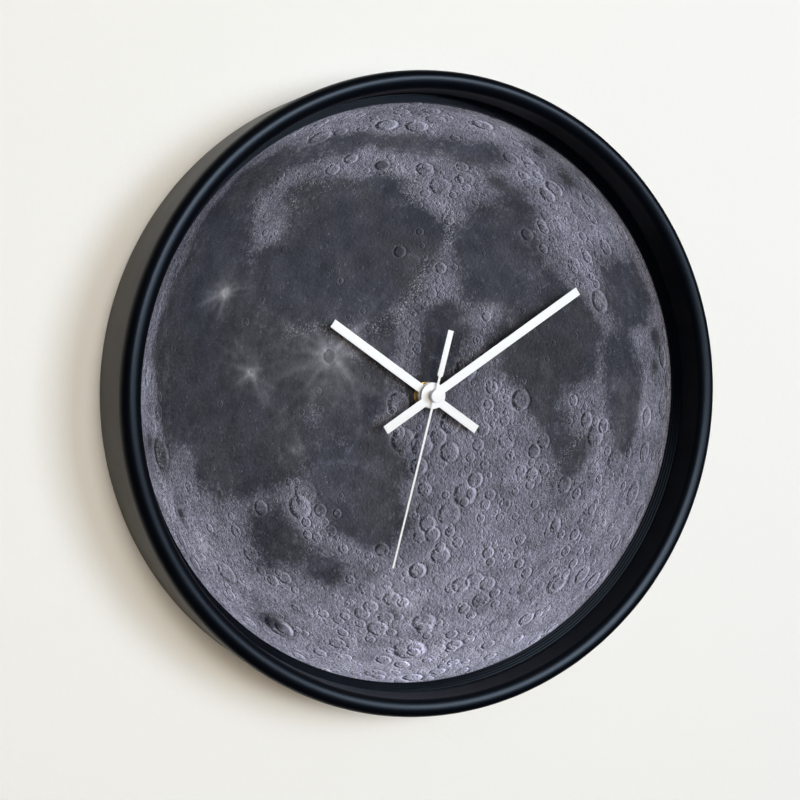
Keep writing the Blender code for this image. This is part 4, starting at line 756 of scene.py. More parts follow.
def print_mesh():
    """The printed sheet as rings of even triangles, fine enough to carry the print's fields."""
    rings, first = ((178, 5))
    xs, ys, starts, faces = [], [], {}, []

    def triangles(*corners):
        faces.append(np.stack(corners, axis=1))

    def on_ring(k, sector, step):
        return starts[k] + (sector * k + step) % (6 * k)

    for k in range(first, rings + 1):
        starts[k] = len(xs)
        radius = max(PRINT_HOLE, PRINT_RADIUS * k / rings) if k > first else PRINT_HOLE
        angles = 2 * pi * np.arange(6 * k) / (6 * k)
        xs.extend(radius * np.cos(angles))
        ys.extend(radius * np.sin(angles))
    for k in range(first, rings):
        sector, step = np.repeat(np.arange(6), k + 1), np.tile(np.arange(k + 1), 6)
        triangles(on_ring(k, sector, step), on_ring(k + 1, sector, step), on_ring(k + 1, sector, step + 1))
        sector, step = np.repeat(np.arange(6), k), np.tile(np.arange(k), 6)
        triangles(on_ring(k, sector, step), on_ring(k + 1, sector, step + 1), on_ring(k, sector, step + 1))

    # The edge, the hole's wall and the back, which needs no points between
    top = len(xs)
    edge, rim, edge_start = 6 * rings, 6 * first, starts[rings]
    xs.extend(xs[edge_start:] + xs[:rim])
    ys.extend(ys[edge_start:] + ys[:rim])
    back_edge, back_rim = top, top + edge
    j = np.arange(edge)
    j2 = (j + 1) % edge
    triangles(edge_start + j, back_edge + j, back_edge + j2)
    triangles(edge_start + j, back_edge + j2, edge_start + j2)
    i = np.arange(rim)
    i2 = (i + 1) % rim
    triangles(i, i2, back_rim + i2)
    triangles(i, back_rim + i2, back_rim + i)
    own = (j * rim) // edge
    own2 = ((j + 1) * rim) // edge
    triangles(back_edge + j, back_rim + own, back_edge + j2)
    change = own2 > own
    triangles(back_edge + j2[change], back_rim + own[change], back_rim + own2[change] % rim)
    x, y = np.array(xs), np.array(ys)
    z = np.where(np.arange(len(x)) < top, DIAL_HEIGHT, PRINT_BACK)
    corners = np.concatenate(faces)
    mesh = bpy.data.meshes.new("dial_print")
    mesh.from_pydata(np.stack([x, y, z], axis=1).tolist(), [], corners.tolist())

    across, up = (x - MOON_CENTRE[0]) / MOON_RADIUS, (y - MOON_CENTRE[1]) / MOON_RADIUS
    right = across * cos(MOON_TURN) + up * sin(MOON_TURN)
    north = up * cos(MOON_TURN) - across * sin(MOON_TURN)
    far = np.maximum(np.hypot(right, north) / 0.9995, 1.0)
    right, north = right / far, north / far
    points = np.stack([right, np.sqrt(1 - right ** 2 - north ** 2), north], axis=1)
    for label, values in moon_fields(points).items():
        flat_values = values.astype(np.float32).ravel()
        if values.ndim == 2:
            mesh.attributes.new(label, "FLOAT_VECTOR", "POINT").data.foreach_set("vector", flat_values)
        else:
            mesh.attributes.new(label, "FLOAT", "POINT").data.foreach_set("value", flat_values)
    layout = mesh.uv_layers.new(name="flat")
    corner_verts = np.empty(len(mesh.loops), np.int32)
    mesh.loops.foreach_get("vertex_index", corner_verts)
    flat = np.stack([x, y], axis=1)[corner_verts] / (2 * RIM_INNER) + 0.5
    layout.data.foreach_set("uv", flat.ravel().astype(np.float32))
    return mesh


def make_crater_light():
    """How one crater is lit from the left, anywhere round its centre: bright on its right inner wall."""
    tree, given, made = group(
        "crater_light", {"Place": None, "East": None, "Centre": None, "Radius": 0.02, "Depth": 1.0},
        {"Light": "Float", "Rim": "Float"})
    off = vector("SUBTRACT", given["Place"], given["Centre"])
    away = vector("LENGTH", off, output="Value")
    side = vector("DOT_PRODUCT", off, given["East"], "Value") / maths("MAXIMUM", away, 0.0004)
    ratio = away / given["Radius"]
    slope = add(tree, "ShaderNodeValToRGB", {"Fac": ratio * 0.5})
    slope.color_ramp.interpolation = "EASE"
    # Half the distance in radii, and the slope there: 0.5 is level, more faces the centre
    stops = ((0.0, 0.5), (0.05, 0.42), (0.10, 0.5), (0.28, 0.5), (0.44, 1.0), (0.49, 0.5), (0.53, 0.32),
             (0.61, 0.46), (0.78, 0.5))
    elements = slope.color_ramp.elements
    while len(elements) < len(stops):
        elements.new(0.5)
    for element, (position, value) in zip(elements, stops):
        element.position = position
        element.color = (value, value, value, 1)
    lit = (Wire(slope.outputs["Color"]) * 2.0 - 1.0) * side
    crest = ramp(maths("ABSOLUTE", ratio - 1.0), 0.22, 0.0)
    feed(made, {"Light": lit * given["Depth"], "Rim": crest * given["Depth"]})
    return tree


def moon_print_material():
    """Matt print of the full moon: the mesh carries where the large forms are, the nodes draw them."""
    material, shader, place = new_material("moon_print")
    tree = place.tree
    turned = read(tree, "ShaderNodeMapping",
                  {"Vector": place, "Location": (MOON_CENTRE[0] * MM, 0, (MOON_CENTRE[1] - HANG_POINT) * MM),
                   "Rotation": (0, -MOON_TURN, 0), "Scale": (MOON_RADIUS * MM,) * 3}, vector_type="TEXTURE")
    x, _, z = split(turned)
    flat = x * x + z * z
    near = maths("SQRT", maths("MAXIMUM", 1.0 - flat, 0.002))
    globe = joined(x, near, z)
    east = vector("NORMALIZE", joined(near, x * -1.0))

    def carried(label, output="Fac"):
        return read(tree, "ShaderNodeAttribute", output=output, attribute_name=label)

    # Ragged shores
    shore = carried("shore")
    ragged = (noise(globe, 26.0, 8.0, 0.80) - 0.5) * 11.0
    plain = ramp(shore + ragged, -2.1, 1.3)
    upland_share = 1.0 - plain
    cloud = noise(globe, 13.0, 7.0, 0.62)

    # Craters: three carried layers, then the layers of small random ones
    crater_light = make_crater_light()
    lights, rims = [], []

    def craters(centre, radius, depth):
        drawn = add(tree, "ShaderNodeGroup",
                    {"Place": globe, "East": east, "Centre": centre, "Radius": radius, "Depth": depth},
                    node_tree=crater_light).outputs
        lights.append(Wire(drawn["Light"]))
        rims.append(Wire(drawn["Rim"]))

    for number in (1, 2, 3):
        craters(carried(f"centre_{number}", "Vector"), carried(f"radius_{number}"),
                carried(f"depth_{number}"))
    for scale, low, high, weight, spread in SMALL_CRATERS:
        cells = add(tree, "ShaderNodeTexVoronoi", {"Vector": globe, "Scale": scale}).outputs
        drawn = add(tree, "ShaderNodeSeparateColor", {0: cells["Color"]}).outputs
        presence, size, strength = (Wire(socket) for socket in drawn)
        wanted = ramp(presence + upland_share * spread, 0.91, 0.99)
        craters(cells["Position"], ramp(size, 0.0, 1.0, low, high, False),
                wanted * ramp(strength, 0.2, 1.0, 0.25 * weight, 1.9 * weight))
    light, rim = sum(lights[1:], lights[0]), sum(rims[1:], rims[0])

    # Fine ground: the same noise read a little to the right; mountains raise it
    aside = vector("ADD", globe, (0.0028, 0, 0))
    fine = noise(aside, 90.0, 2.0, 0.85) - noise(globe, 90.0, 2.0, 0.85)
    rugged = carried("rugged")
    light = maths("MINIMUM", light * 3.6, 1.6) + fine * (upland_share * 2.2 + 2.6 + rugged * 4.0)

    # Colour: cool grey uplands, paler and more violet towards the bottom limb; dark plains
    high = maths("MAXIMUM", z * 0.45, z * -1.0)
    limb = ramp(high + flat * 0.35, 0.75, 1.3)
    upland = blend_colour(limb, (0.164, 0.165, 0.216, 1), (0.226, 0.227, 0.296, 1))
    upland = scaled(upland, ramp(shore, -9.0, -0.5, 1.0, 0.66))
    tint = ramp(noise(globe, 3.6, 4.0, 0.55), 0.38, 0.62)
    sea = blend_colour(tint, (0.030, 0.0315, 0.043, 1), (0.038, 0.0375, 0.046, 1))
    shallows = ramp(shore, 8.0, 0.5) * ramp(noise(globe, 31.0, 7.0, 0.72), 0.50, 0.68, 0.0, 1.1)
    ground_colour = blend_colour(plain, upland, scaled(sea, shallows + 1.03))
    gain = (carried("tone") + 1.0) * ((cloud - 0.5) * 1.7 + 1.0)
    lit = scaled(ground_colour, gain * maths("MAXIMUM", light + 1.0, 0.15))

    # Bright dust: rays, rims, peaks and coasts
    rays = carried("bright") * ramp(cloud, 0.25, 0.75, 0.35, 1.5)
    peaks = rugged * ramp(noise(globe, 170.0, 2.0), 0.54, 0.70)
    coast = plain * upland_share * ramp(noise(globe, 120.0, 2.0), 0.52, 0.70, 0.0, 0.35)
    glow = maths("MAXIMUM", rays * 0.125 + rim * 0.015 + peaks * 0.24 + coast, 0.0)
    final = vector("ADD", lit, joined(glow, glow, glow * 1.12))

    # Paper: a faint tooth under the ink
    tooth = noise(place, 1800.0, 2.0)
    feed(shader, {"Base Color": final, "Roughness": ramp(tooth, 0.3, 0.7, 0.58, 0.66),
                  "Specular IOR Level": 0.03})
    bump(shader, tooth, 0.00001)
    return material


def build_print():
    settle("moon_dial", print_mesh(), "moon_print", "dial_print", smooth=60, material=moon_print_material())


# The case

def case_section():
    """Outer wall, crown, inner wall, terraces and lip, with every edge eased."""
    def crown(start, end, inset, steps):
        for step in range(steps + 1):
            angle = radians(start + (end - start) * step / steps)
            rise = RIM_CROWN + (0 if angle > pi / 2 or inset else RIM_ROLL)
            yield (RIM_CENTRE + (RIM_HALF_WIDTH - inset) * cos(angle),
                   RIM_BASE + RIM_CROWN - rise + (rise - inset) * sin(angle), 0)

    rear = [(CASE_RADIUS, 0.6, 0.25), (CASE_RADIUS - 0.6, 0.0, 0.2), (CASE_RADIUS - CASE_WALL, 0.0, 0.3)]
    channel = list(crown(0, 180, CASE_WALL, 12)) + [(RIM_INNER + CASE_WALL, LIP_BACK, 0.3)]
    lip = [(VIEW_RADIUS, LIP_BACK, 0.12)]
    for terrace in range(TERRACES):
        tread = LIP_BACK + LIP_THICKNESS + terrace * TERRACE_RISE
        lip.append((VIEW_RADIUS + terrace * TERRACE_TREAD, tread, 0.17))
        lip.append((VIEW_RADIUS + (terrace + 1) * TERRACE_TREAD, tread, 0.12))
    return eased(list(crown(90, 0, 0, 20)) + rear + channel + lip + list(crown(180, 90, 0, 20))[:-1])


def screw_places():
    for i in range(SCREWS):
        angle = radians(FIRST_SCREW_ANGLE + i * 360 / SCREWS)
        yield SCREW_CIRCLE * cos(angle), SCREW_CIRCLE * sin(angle)


def build_case():
    """The case with the bosses that take the board's screws."""
    shell = lathe(case_section(), 384)
    boss_radius, boss_bore, boss_back, boss_front = 3.5, 1.15, 23.0, 35.0
    boss = [(boss_radius, boss_back, 0.3), (boss_radius, boss_front, 0.3), (boss_bore, boss_front, 0),
            (boss_bore, boss_back, 0.2)]
    bosses = [moved(spun(boss, 32), x, y) for x, y in screw_places()]
    settle("case", merged(shell, *bosses), "satin_black_plastic", "case_frame", smooth=12)


# Hands

def baton_outline(reach, tail, half, hub):
    """A square-ended blade with a round hub, pointing at twelve."""
    shoulder = asin(half / hub)
    left = arc(hub, pi / 2 + shoulder, pi - 2 * shoulder, 24)
    right = arc(hub, shoulder - pi / 2, pi - 2 * shoulder, 24)
    return [(half, reach), (-half, reach)] + left + [(-half, -tail), (half, -tail)] + right


def needle_outline(reach, half, bar_half, bar_start, bar_end, hub):
    """The second hand: a thin needle ahead of the boss, a wider bar with cut shoulders behind it."""
    shoulder = asin(half / hub)
    left = arc(hub, pi / 2 + shoulder, pi - 2 * shoulder, 20)
    right = arc(hub, shoulder - pi / 2, pi - 2 * shoulder, 20)
    slope = bar_half - half
    return ([(half * 0.8, reach), (-half * 0.8, reach)] + left
            + [(-half, -bar_start), (-bar_half, -bar_start - slope), (-bar_half, -bar_end),
               (bar_half, -bar_end), (bar_half, -bar_start - slope), (half, -bar_start)] + right)


def collar(bore, back, front, wall=0.9):
    """The short tube behind a hand that grips its pipe."""
    return spun([(bore, back, 0.08), (bore + wall, back, 0.15), (bore + wall, front, 0),
                 (bore, front, 0)], 40)


def build_hands():
    hour = baton_outline(reach=59.6, tail=29.4, half=2.1, hub=6.2)
    minute = baton_outline(reach=92.0, tail=28.8, half=2.1, hub=6.2)
    second = needle_outline(reach=82.7, half=0.55, bar_half=1.4, bar_start=9.0, bar_end=31.7, hub=2.4)
    for name, outline, bore, top, thickness, collar_back, turn in (
            ("hour", hour, 2.69, HOUR_TOP, 0.5, 27.7, HOUR_TURN),
            ("minute", minute, 1.78, MINUTE_TOP, 0.5, 30.0, MINUTE_TURN),
            ("second", second, 0.57, SECOND_TOP, 0.4, 33.2, SECOND_TURN)):
        blade = plate([outline, circle(bore, 32)], top - thickness, top, 0.07)
        mesh = merged(blade, collar(bore, collar_back, top - thickness / 2))
        settle(f"{name}_hand_dressed", moved(mesh, turn=-turn), "white_enamel", f"{name}_hand",
               body=f"{name}s")
    cap = spun([(0, 35.3, 0), (2.8, 35.3, 0.15), (3.0, 35.5, 0.15), (3.0, 37.35, 0.2), (2.85, 37.55, 0.2),
                (0, 37.6, 0)], 64, closed=False, steps=5)
    settle("cap", cap, "white_gloss", "centre_cap", body="seconds", smooth=50)


# Clamp: bushing, washers and nut

def hex_nut(corner, bore, back, top):
    """A nut with its corners chamfered on both faces and a countersunk bore."""
    flat = corner * cos(pi / 6)
    circle_radius = flat * 0.98
    sink = 0.4
    segments = 144
    columns = []
    for s in range(segments):
        angle = 2 * pi * s / segments
        reach = flat / cos((angle - pi / 2) % (pi / 3) - pi / 6)
        drop = max(0.0, reach - circle_radius) * tan(radians(30))
        section = [(bore, back + sink), (bore + sink, back), (circle_radius, back), (reach, back + drop),
                   (reach, top - drop), (circle_radius, top), (bore + sink, top), (bore, top - sink)]
        columns.append([(radius * cos(angle), radius * sin(angle), height) for radius, height in section])
    bm = bmesh.new()
    join_rings(bm, [[bm.verts.new(place) for place in ring] for ring in zip(*columns)], closed=True)
    return to_mesh(bm)


def coil_tree():
    """A coil added to a piece: a spiral whose section is a wire or, with three sides, a thread's ridge."""
    tree, given, made = growth("coil", ("Turns", "Height", "Start Radius", "End Radius", "Thickness"), "Sides")
    spiral = read(tree, "GeometryNodeCurveSpiral",
                  {"Resolution": 40, "Rotations": given["Turns"], "Start Radius": given["Start Radius"],
                   "End Radius": given["End Radius"], "Height": given["Height"]})
    section = read(tree, "GeometryNodeCurvePrimitiveCircle",
                   {"Resolution": given["Sides"], "Radius": given["Thickness"]})
    wound = read(tree, "GeometryNodeCurveToMesh",
                 {"Curve": spiral, "Profile Curve": section, "Fill Caps": True})
    together = add(tree, "GeometryNodeJoinGeometry", {0: wound})
    feed(together, {0: given["Geometry"]})
    return finished(tree, together.outputs[0], given, made)


def ring_tree():
    """The given piece repeated at even steps on a ring, each copy turned to face outward."""
    tree, given, made = growth("ring", ("Radius", "First Angle"), "Count")
    places = read(tree, "GeometryNodeMeshCircle", {"Vertices": given["Count"], "Radius": given["Radius"]})
    turn = read(tree, "ShaderNodeCombineXYZ", {2: given["First Angle"]})
    turned = read(tree, "GeometryNodeTransform", {"Geometry": places, "Rotation": turn})
    outward = read(tree, "FunctionNodeAlignRotationToVector",
                   {"Vector": read(tree, "GeometryNodeInputPosition")}, axis="X", pivot_axis="Z")
    copies = read(tree, "GeometryNodeInstanceOnPoints",
                  {"Points": turned, "Instance": given["Geometry"], "Rotation": outward})
    return finished(tree, copies, given, made)


def growth(name, measures, count):
    """An empty geometry tree that takes a piece, some measures, one whole number and a material."""
    tree = bpy.data.node_groups.new(name, "GeometryNodeTree")
    inputs = [("Geometry", "Geometry"), *((label, "Float") for label in measures), (count, "Int"),
              ("Material", "Material")]
    for label, kind in inputs:
        tree.interface.new_socket(name=label, in_out="INPUT", socket_type=f"NodeSocket{kind}")
    tree.interface.new_socket(name="Geometry", in_out="OUTPUT", socket_type="NodeSocketGeometry")
    return tree, tree.nodes.new("NodeGroupInput").outputs, tree.nodes.new("NodeGroupOutput")


def finished(tree, geometry, given, made):
    """The tree, with its geometry made real, coloured and led to its output."""
    real = read(tree, "GeometryNodeRealizeInstances", {"Geometry": geometry})
    painted = read(tree, "GeometryNodeSetMaterial", {"Geometry": real, "Material": given["Material"]})
    feed(made, {0: painted})
    return tree


def grown(mesh, tree, values):
    """The mesh after a tree has worked on it, its inputs set by their names."""
    obj = linked("grown", mesh)
    step = obj.modifiers.new("Tree", "NODES")
    step.node_group = tree
    for item in tree.interface.items_tree:
        if item.in_out == "INPUT" and item.name in values:
            step[item.identifier] = values[item.name]
    return evaluated(obj)


coil, ring = coil_tree(), ring_tree()


def coiled(turns, height, start, end, thickness, sides, slot):
    """A spiral of wire or, with three sides, a thread's ridge."""
    return grown(bpy.data.meshes.new("coil"), coil,
                 {"Turns": turns, "Height": height, "Start Radius": start, "End Radius": end,
                  "Thickness": thickness, "Sides": sides, "Material": FINISHES[slot]})


def ringed(mesh, count, radius, first_angle, slot):
    """Copies of a piece at even steps on a ring."""
    return grown(mesh, ring, {"Count": count, "Radius": radius, "First Angle": first_angle,
                              "Material": FINISHES[slot]})


def flat_ring(inner, outer, back, front, inner_edge, outer_edge):
    """A washer."""
    return spun([(inner, back, inner_edge), (outer, back, outer_edge), (outer, front, outer_edge),
                 (inner, front, inner_edge)], 64)


def build_clamp():
    flange_top, flange_back, flange_radius = 16.4, 15.8, 5.4
    bore, root, end = 2.68, 3.45, 27.4
    shaft = spun([(bore, flange_back, 0.1), (flange_radius, flange_back, 0.12),
                  (flange_radius, flange_top, 0.12), (root, flange_top, 0), (root, end - 0.3, 0.2),
                  (3.2, end, 0.1), (bore, end, 0.1)], 64)
    ridge = moved(coiled(13.0, 9.6, 3.42, 3.42, 0.37, 3, "brass"), z=17.2)
    settle("bushing", merged(shaft, ridge), "brass", "threaded_bushing", smooth=25)
    settle("nut", hex_nut(6.4, SHAFT_HOLE, 24.5, 26.7), "brass", "hex_nut", smooth=25)
    settle("washer", flat_ring(SHAFT_HOLE, 6.2, 23.7, 24.2, 0.05, 0.15), "brass", "brass_washer")
    settle("rubber_ring", flat_ring(SHAFT_HOLE, 7.5, 19.3, 19.9, 0.1, 0.2), "black_rubber", "rubber_washer")


# Back: board, screws, hanger, movement housing and power

def build_board():
    holes = [circle(1.35, 20, place) for place in screw_places()]
    board = plate([circle(BOARD_RADIUS, 256), circle(PRINT_HOLE, 48), *holes], BOARD_BACK, BOARD_FRONT, 0.15)
    settle("backing_board", board, "hardboard", "dial_board")

    shank, head_radius, seat, head_back = 0.85, 2.0, 19.9, 18.4
    screw = spun([(0, 29.1, 0), (shank, 27.6, 0.2), (shank, 20.2, 0.1), (1.1, seat, 0),
                  (head_radius, seat, 0.12), (head_radius, 19.15, 0.3), (1.4, head_back, 0.25),
                  (0, head_back, 0)], 32, closed=False)
    half_length, half_width = 1.15, 0.24
    arms = [soft_block((-x, -y, 17.5), (x, y, 19.3), 0.1, 1)
            for x, y in ((half_length, half_width), (half_width, half_length))]
    ridge = moved(coiled(7.0, 7.3, shank, shank, 0.26, 3, "zinc_steel"), z=20.4)
    screws = ringed(merged(cut(screw, *arms), ridge), SCREWS, SCREW_CIRCLE, radians(FIRST_SCREW_ANGLE),
                    "zinc_steel")
    settle("screws", screws, "zinc_steel", *[f"board_screw_{number}" for number in range(1, SCREWS + 1)])


def bent_strip(path, half, thickness, bend, steps=6):
    """A strip of sheet bent along a path of (up, height) places."""
    line = []
    for i, place in enumerate(path):
        here = Vector(place)
        if i in (0, len(path) - 1):
            line.append(here)
            continue
        start = here + (Vector(path[i - 1]) - here).normalized() * bend
        end = here + (Vector(path[i + 1]) - here).normalized() * bend
        for step in range(steps + 1):
            share = step / steps
            line.append(start.lerp(here, share).lerp(here.lerp(end, share), share))
    bm = bmesh.new()
    rows = []
    for i, place in enumerate(line):
        along = (line[min(i + 1, len(line) - 1)] - line[max(i - 1, 0)]).normalized()
        off = Vector((-along.y, along.x)) * thickness / 2
        rows.append([bm.verts.new((x, up, height)) for x, (up, height) in
                     ((-half, place + off), (half, place + off), (half, place - off), (-half, place - off))])
    join_rings(bm, rows, closed=False)
    bm.faces.new(rows[0])
    bm.faces.new(rows[-1])
    bmesh.ops.recalc_face_normals(bm, faces=bm.faces)
    edges = [edge for edge in bm.edges if edge.calc_face_angle(0) > radians(60)]
    bmesh.ops.bevel(bm, geom=edges, offset=0.12, segments=2, profile=0.5, affect="EDGES")
    return to_mesh(bm)


def keyhole():
    """Round eye below, narrow slot above, for a nail or screw in the wall."""
    slot_up, eye_up, neck, eye = 38.0, 32.5, 2.0, 4.5
    shoulder = asin(neck / eye)
    return (arc(neck, 0, pi, 16, (0, slot_up))
            + arc(eye, pi / 2 + shoulder, 2 * pi - 2 * shoulder, 36, (0, eye_up)))


def build_hanger():
    strip = bent_strip([(-10, 18.6), (28.7, 18.6), (28.7, 4.0), (46, 4.0)],
                       half=11.0, thickness=0.8, bend=1.3)
    strip = cut(strip, drill(circle(SHAFT_HOLE, 40), 17.0, 20.0), drill(keyhole(), 3.0, 5.0))
    settle("hanger_strip", strip, "zinc_steel", "hanger")


def build_housing():
    """The movement's tray, its lid with a recessed panel, and the knob that sets the hands."""
    inside, chamber_low, bay_high = CHAMBER_HALF, -10.8, -12.0
    floor = 16.7
    body = soft_block((-HOUSING_HALF, -HOUSING_HALF, MOVEMENT_BACK),
                      (HOUSING_HALF, HOUSING_HALF, MOVEMENT_FRONT), 0.9, 4)
    chamber = soft_block((-inside, chamber_low, -2), (inside, inside, floor), 0.5)
    bay = soft_block((-inside, -inside, -2), (inside, bay_high, floor), 0.5)
    body = cut(body, chamber, bay, drill(circle(SHAFT_HOLE, 40), 16.0, 19.0))
    post = [(0, 16.8, 0), (2.0, 16.8, 0), (2.0, PLATE_FRONT + 0.3, 0.2), (0, PLATE_FRONT + 0.3, 0)]
    posts = [moved(spun(post, 24, closed=False), x, y) for x in (-21.9, 21.9) for y in (-8.2, 12.9)]
    settle("movement_housing", merged(body, *posts), "black_plastic", "movement_case")

    lid = soft_block((-26.5, -10.5, MOVEMENT_BACK), (26.5, 26.5, 3.4), 0.35)
    seat = drill(circle(5.9, 48, KNOB_PLACE), 1.0, 2.2)
    arbor = drill(circle(1.15, 24, KNOB_PLACE), 1.0, 5.0)
    slots = [drill(rounded((x - 4, 23.6), (x + 4, 24.8), 0.5), 1.0, 2.5) for x in (-16, 16)]
    panel = plate([rounded((-22, 3.5), (22, 20.5), 2.0), rounded((-21.4, 4.1), (21.4, 19.9), 1.4)],
                  1.0, 2.15, 0.0)
    settle("movement_lid", cut(lid, seat, arbor, panel, *slots), "black_plastic", "movement_cover")

    knob_back, knob_front, web_back, bore = 0.4, 1.6, 0.8, 1.05
    knob = spun([(bore, knob_front, 0.1), (4.95, knob_front, 0.25), (4.95, knob_back, 0.3),
                 (4.2, knob_back, 0.15), (3.9, web_back, 0.2), (1.9, web_back, 0.15), (1.7, knob_back, 0.15),
                 (bore, knob_back, 0.1)], 72)
    rib = spun([(0, 0.5, 0), (0.42, 0.5, 0.2), (0.42, 1.5, 0.2), (0, 1.5, 0)], 16, closed=False)
    grips = ringed(rib, 18, 4.78, 0.0, "white_acetal")
    settle("hand_setting_knob", moved(merged(knob, grips), *KNOB_PLACE), "white_acetal", "setting_knob",
           body="setting", smooth=40)


def build_power():
    """The cell, lying across the bay, and the contacts at its ends."""
    can = spun([(0, 0, 0), (6.2, 0, 0.1), (6.45, 0.25, 0.1), (6.7, 0.2, 0.1), (7.1, 0.6, 0.35),
                (7.1, 48.7, 0.35), (6.7, 49.1, 0.1), (6.4, 49.0, 0.1), (6.1, 49.3, 0.1),
                (3.5, 49.3, 0.1), (3.2, 49.1, 0.1), (2.7, 49.3, 0.1),
                (2.7, 50.3, 0.35), (0, 50.3, 0)], 64, closed=False)
    can.transform(Matrix.Translation((-24.5, CELL_UP, CELL_HEIGHT)) @ Matrix.Rotation(pi / 2, 4, "Y"))
    settle("cell", can, "battery_wrap", "battery_cell", body="battery")

    for name, side in (("positive", 1), ("negative", -1)):
        tab = plate([rounded((-25.4, 4.8), (-13.4, 13.8), 1.2), circle(0.8, 20, (-14.8, 12.4)),
                     circle(0.8, 20, (-14.8, 6.2))], 26.1, 26.5, 0.06)
        tab.transform(Matrix(((0, 0, side, 0), (1, 0, 0, 0), (0, 1, 0, 0), (0, 0, 0, 1))))
        if side < 0:
            tab.flip_normals()
        settle(f"{name}_tab", tab, "nickel_iron", f"contact_{name}")

    wire = coiled(2.0, 0.5, 3.6, 1.6, 0.25, 12, "zinc_steel")
    wire.transform(Matrix.Translation((-25.55, CELL_UP, CELL_HEIGHT)) @ Matrix.Rotation(pi / 2, 4, "Y"))
    settle("cell_spring", wire, "zinc_steel", "battery_spring", smooth=60)


# Stage: the wall it hangs on, the floor far below it, lamps and camera

def ray_kinds(tree):
    """What kind of ray meets the surface, by name."""
    return {name: Wire(socket) for name, socket in add(tree, "ShaderNodeLightPath").outputs.items()}


def wall_material():
    """Matt cream-white paint. From behind, the wall lets the eye and the rear lamp through. Close to
    the axis reflections pass through it too, and beyond the case its reflection is dim."""
    material, shader, place = new_material("wall_paint")
    tree = place.tree
    covered_radius, dim_start, dim_end = 0.146, 0.160, 0.215
    tone = blend_colour(noise(place, 3.0), (0.908, 0.899, 0.889, 1), (0.928, 0.919, 0.909, 1))
    feed(shader, {"Base Color": tone, "Roughness": 0.85, "Specular IOR Level": 0.2})
    bump(shader, noise(place, 260.0, 4.0, 0.6), 0.00012)
    rays = ray_kinds(tree)
    behind = read(tree, "ShaderNodeNewGeometry", output="Backfacing")
    flat = vector("MULTIPLY", place, (1, 0, 1))
    away = vector("DISTANCE", flat, (0, 0, -HANG_POINT * MM), "Value")
    covered = maths("LESS_THAN", away, covered_radius) * rays["Is Glossy Ray"]
    seen_through = maths("MAXIMUM", rays["Is Camera Ray"] * behind,
                         maths("MAXIMUM", rays["Is Shadow Ray"], covered))
    dim = ramp(away, dim_start, dim_end) * rays["Is Glossy Ray"]
    dark = read(tree, "ShaderNodeBsdfDiffuse", {"Color": (0.02, 0.02, 0.02, 1)})
    paint = read(tree, "ShaderNodeMixShader", {0: dim, 1: shader.outputs[0], 2: dark})
    clear = read(tree, "ShaderNodeBsdfTransparent")
    mixed = read(tree, "ShaderNodeMixShader", {0: seen_through, 1: paint, 2: clear})
    feed(tree.nodes["Material Output"], {"Surface": mixed})
    return material


def stage_sheet(name, corners, material):
    mesh = bpy.data.meshes.new(name)
    mesh.from_pydata(corners, [], [(0, 1, 2, 3)])
    mesh.materials.append(material)
    obj = linked(name, mesh)
    return obj


def lamp(name, across, up, distance, width, height, power, colour, gives):
    """A soft lamp aimed at the clock from so many degrees to the right and up. It gives light to one
    kind of surface, "diffuse" or "glossy"."""
    data = bpy.data.lights.new(name, "AREA")
    data.shape = "RECTANGLE"
    data.size, data.size_y = width, height
    data.energy = power
    data.color = colour
    obj = linked(name, data)
    a, e = radians(across), radians(up)
    heading = Vector((sin(a) * cos(e), -cos(a) * cos(e), sin(e)))
    obj.location = Vector((0, -0.02, -0.04)) + heading * distance
    obj.rotation_euler = heading.to_track_quat("Z", "Y").to_euler()
    obj.visible_glossy = gives == "glossy"
    obj.visible_diffuse = gives == "diffuse"


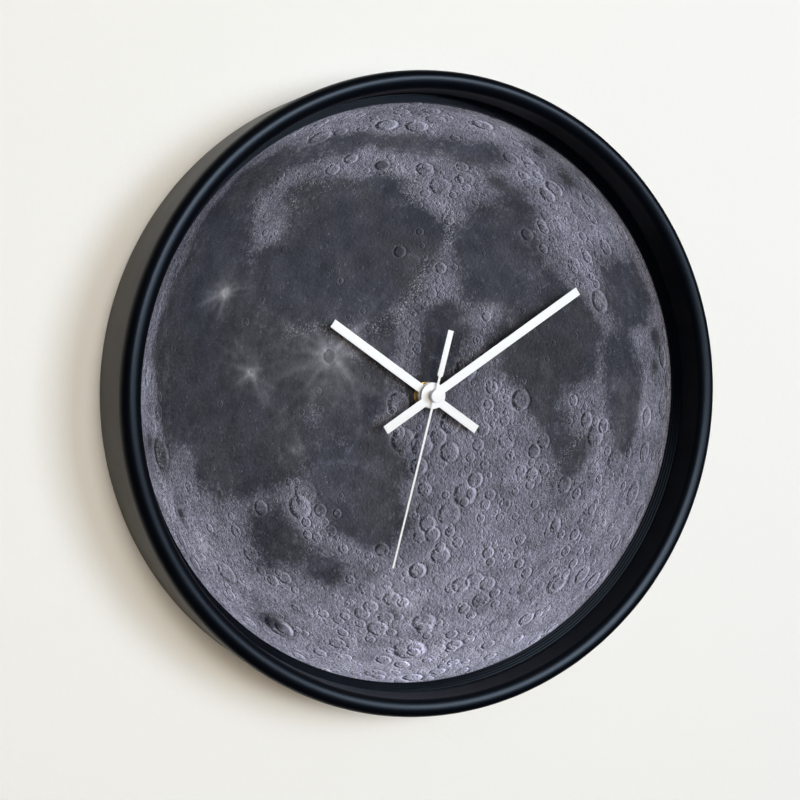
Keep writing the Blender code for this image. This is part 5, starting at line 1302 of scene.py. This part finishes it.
def build_stage():
    floor_up, half, wall_top, floor_front = -1.2, 3, 2.4, -4
    wall_gap = 0.0003
    stage_sheet("wall", [(-half, wall_gap, floor_up), (half, wall_gap, floor_up), (half, wall_gap, wall_top),
                         (-half, wall_gap, wall_top)], wall_material())
    floor = skinned("floor_paint", (0.80, 0.79, 0.76), 0.6, 0.05, 0.04, 300.0, 0.0002)
    feed(floor.node_tree.nodes["Principled BSDF"],
         {"Emission Color": (0.80, 0.79, 0.77, 1), "Emission Strength": 0.75})
    ground = stage_sheet("floor", [(-half, floor_front, floor_up), (half, floor_front, floor_up),
                                   (half, half, floor_up), (-half, half, floor_up)], floor)
    ground.visible_glossy = ground.visible_diffuse = False

    # Degrees to the right and up, distance, width and height in metres, watts, colour, kind of light
    lamp("left", -9, 2, 2.2, 0.8, 0.8, 17.0, (1.0, 0.86, 0.67), "diffuse")
    lamp("front", -1, 9, 2.2, 0.5, 0.5, 12.6, (1.0, 0.97, 0.87), "diffuse")
    lamp("right", 23, 7, 2.2, 0.85, 0.85, 25.6, (0.75, 0.875, 1.0), "diffuse")
    lamp("window", 5, 21, 2.2, 2.7, 1.3, 270.0, (0.62, 0.79, 1.0), "glossy")
    lamp("rear", 165, 15, 1.9, 0.5, 0.5, 42.0, (1.0, 0.99, 0.97), "diffuse")

    # The room: a warm even light for matt surfaces, dim in reflections except from behind the wall
    world = bpy.data.worlds.new("room")
    bpy.context.scene.world = world
    world.use_nodes = True
    tree = world.node_tree
    rays = ray_kinds(tree)
    seen = maths("MAXIMUM", rays["Is Camera Ray"], rays["Is Transmission Ray"])
    shown = read(tree, "ShaderNodeBackground", {"Color": (0.93, 0.925, 0.915, 1), "Strength": 1.0})
    room = tree.nodes["Background"]
    feed(room, {"Color": (1.0, 0.90, 0.74, 1), "Strength": 0.04})
    heading = split(read(tree, "ShaderNodeTexCoord", output="Generated"))
    behind = ramp(heading[1], 0.0, 0.35, 0.02, 0.80)
    mirrored = read(tree, "ShaderNodeBackground", {"Color": (0.92, 0.95, 1.0, 1), "Strength": behind})
    inner = read(tree, "ShaderNodeMixShader", {0: rays["Is Glossy Ray"], 1: room.outputs[0], 2: mirrored})
    mixed = read(tree, "ShaderNodeMixShader", {0: seen, 1: inner, 2: shown})
    feed(tree.nodes["World Output"], {"Surface": mixed})


def build_camera():
    """The photograph's own point of view, from the left of the clock."""
    place, target = Vector((-0.28642, -0.66684, -0.00711)), Vector((-0.01301, -0.0234, -0.04216))
    data = bpy.data.cameras.new("camera")
    data.lens = 66.78
    data.sensor_width = 36.0
    obj = linked("camera", data)
    obj.location = place
    obj.rotation_euler = (target - place).to_track_quat("-Z", "Y").to_euler()
    bpy.context.scene.camera = obj


def dress_inner_works():
    """Gives the carried-over nodes inside the movement their finish, by the record's slots."""
    for row in frame["record"]["subparts"]:
        if row["material_slot"] in FINISHES:
            for slot in frame["nodes"][row["node"]].material_slots:
                slot.material = FINISHES[row["material_slot"]]


bpy.context.scene.view_settings.view_transform = "Standard"
build_camera()
build_stage()
build_case()
build_print()
build_hands()
build_clamp()
build_board()
build_hanger()
build_housing()
build_power()
dress_inner_works()
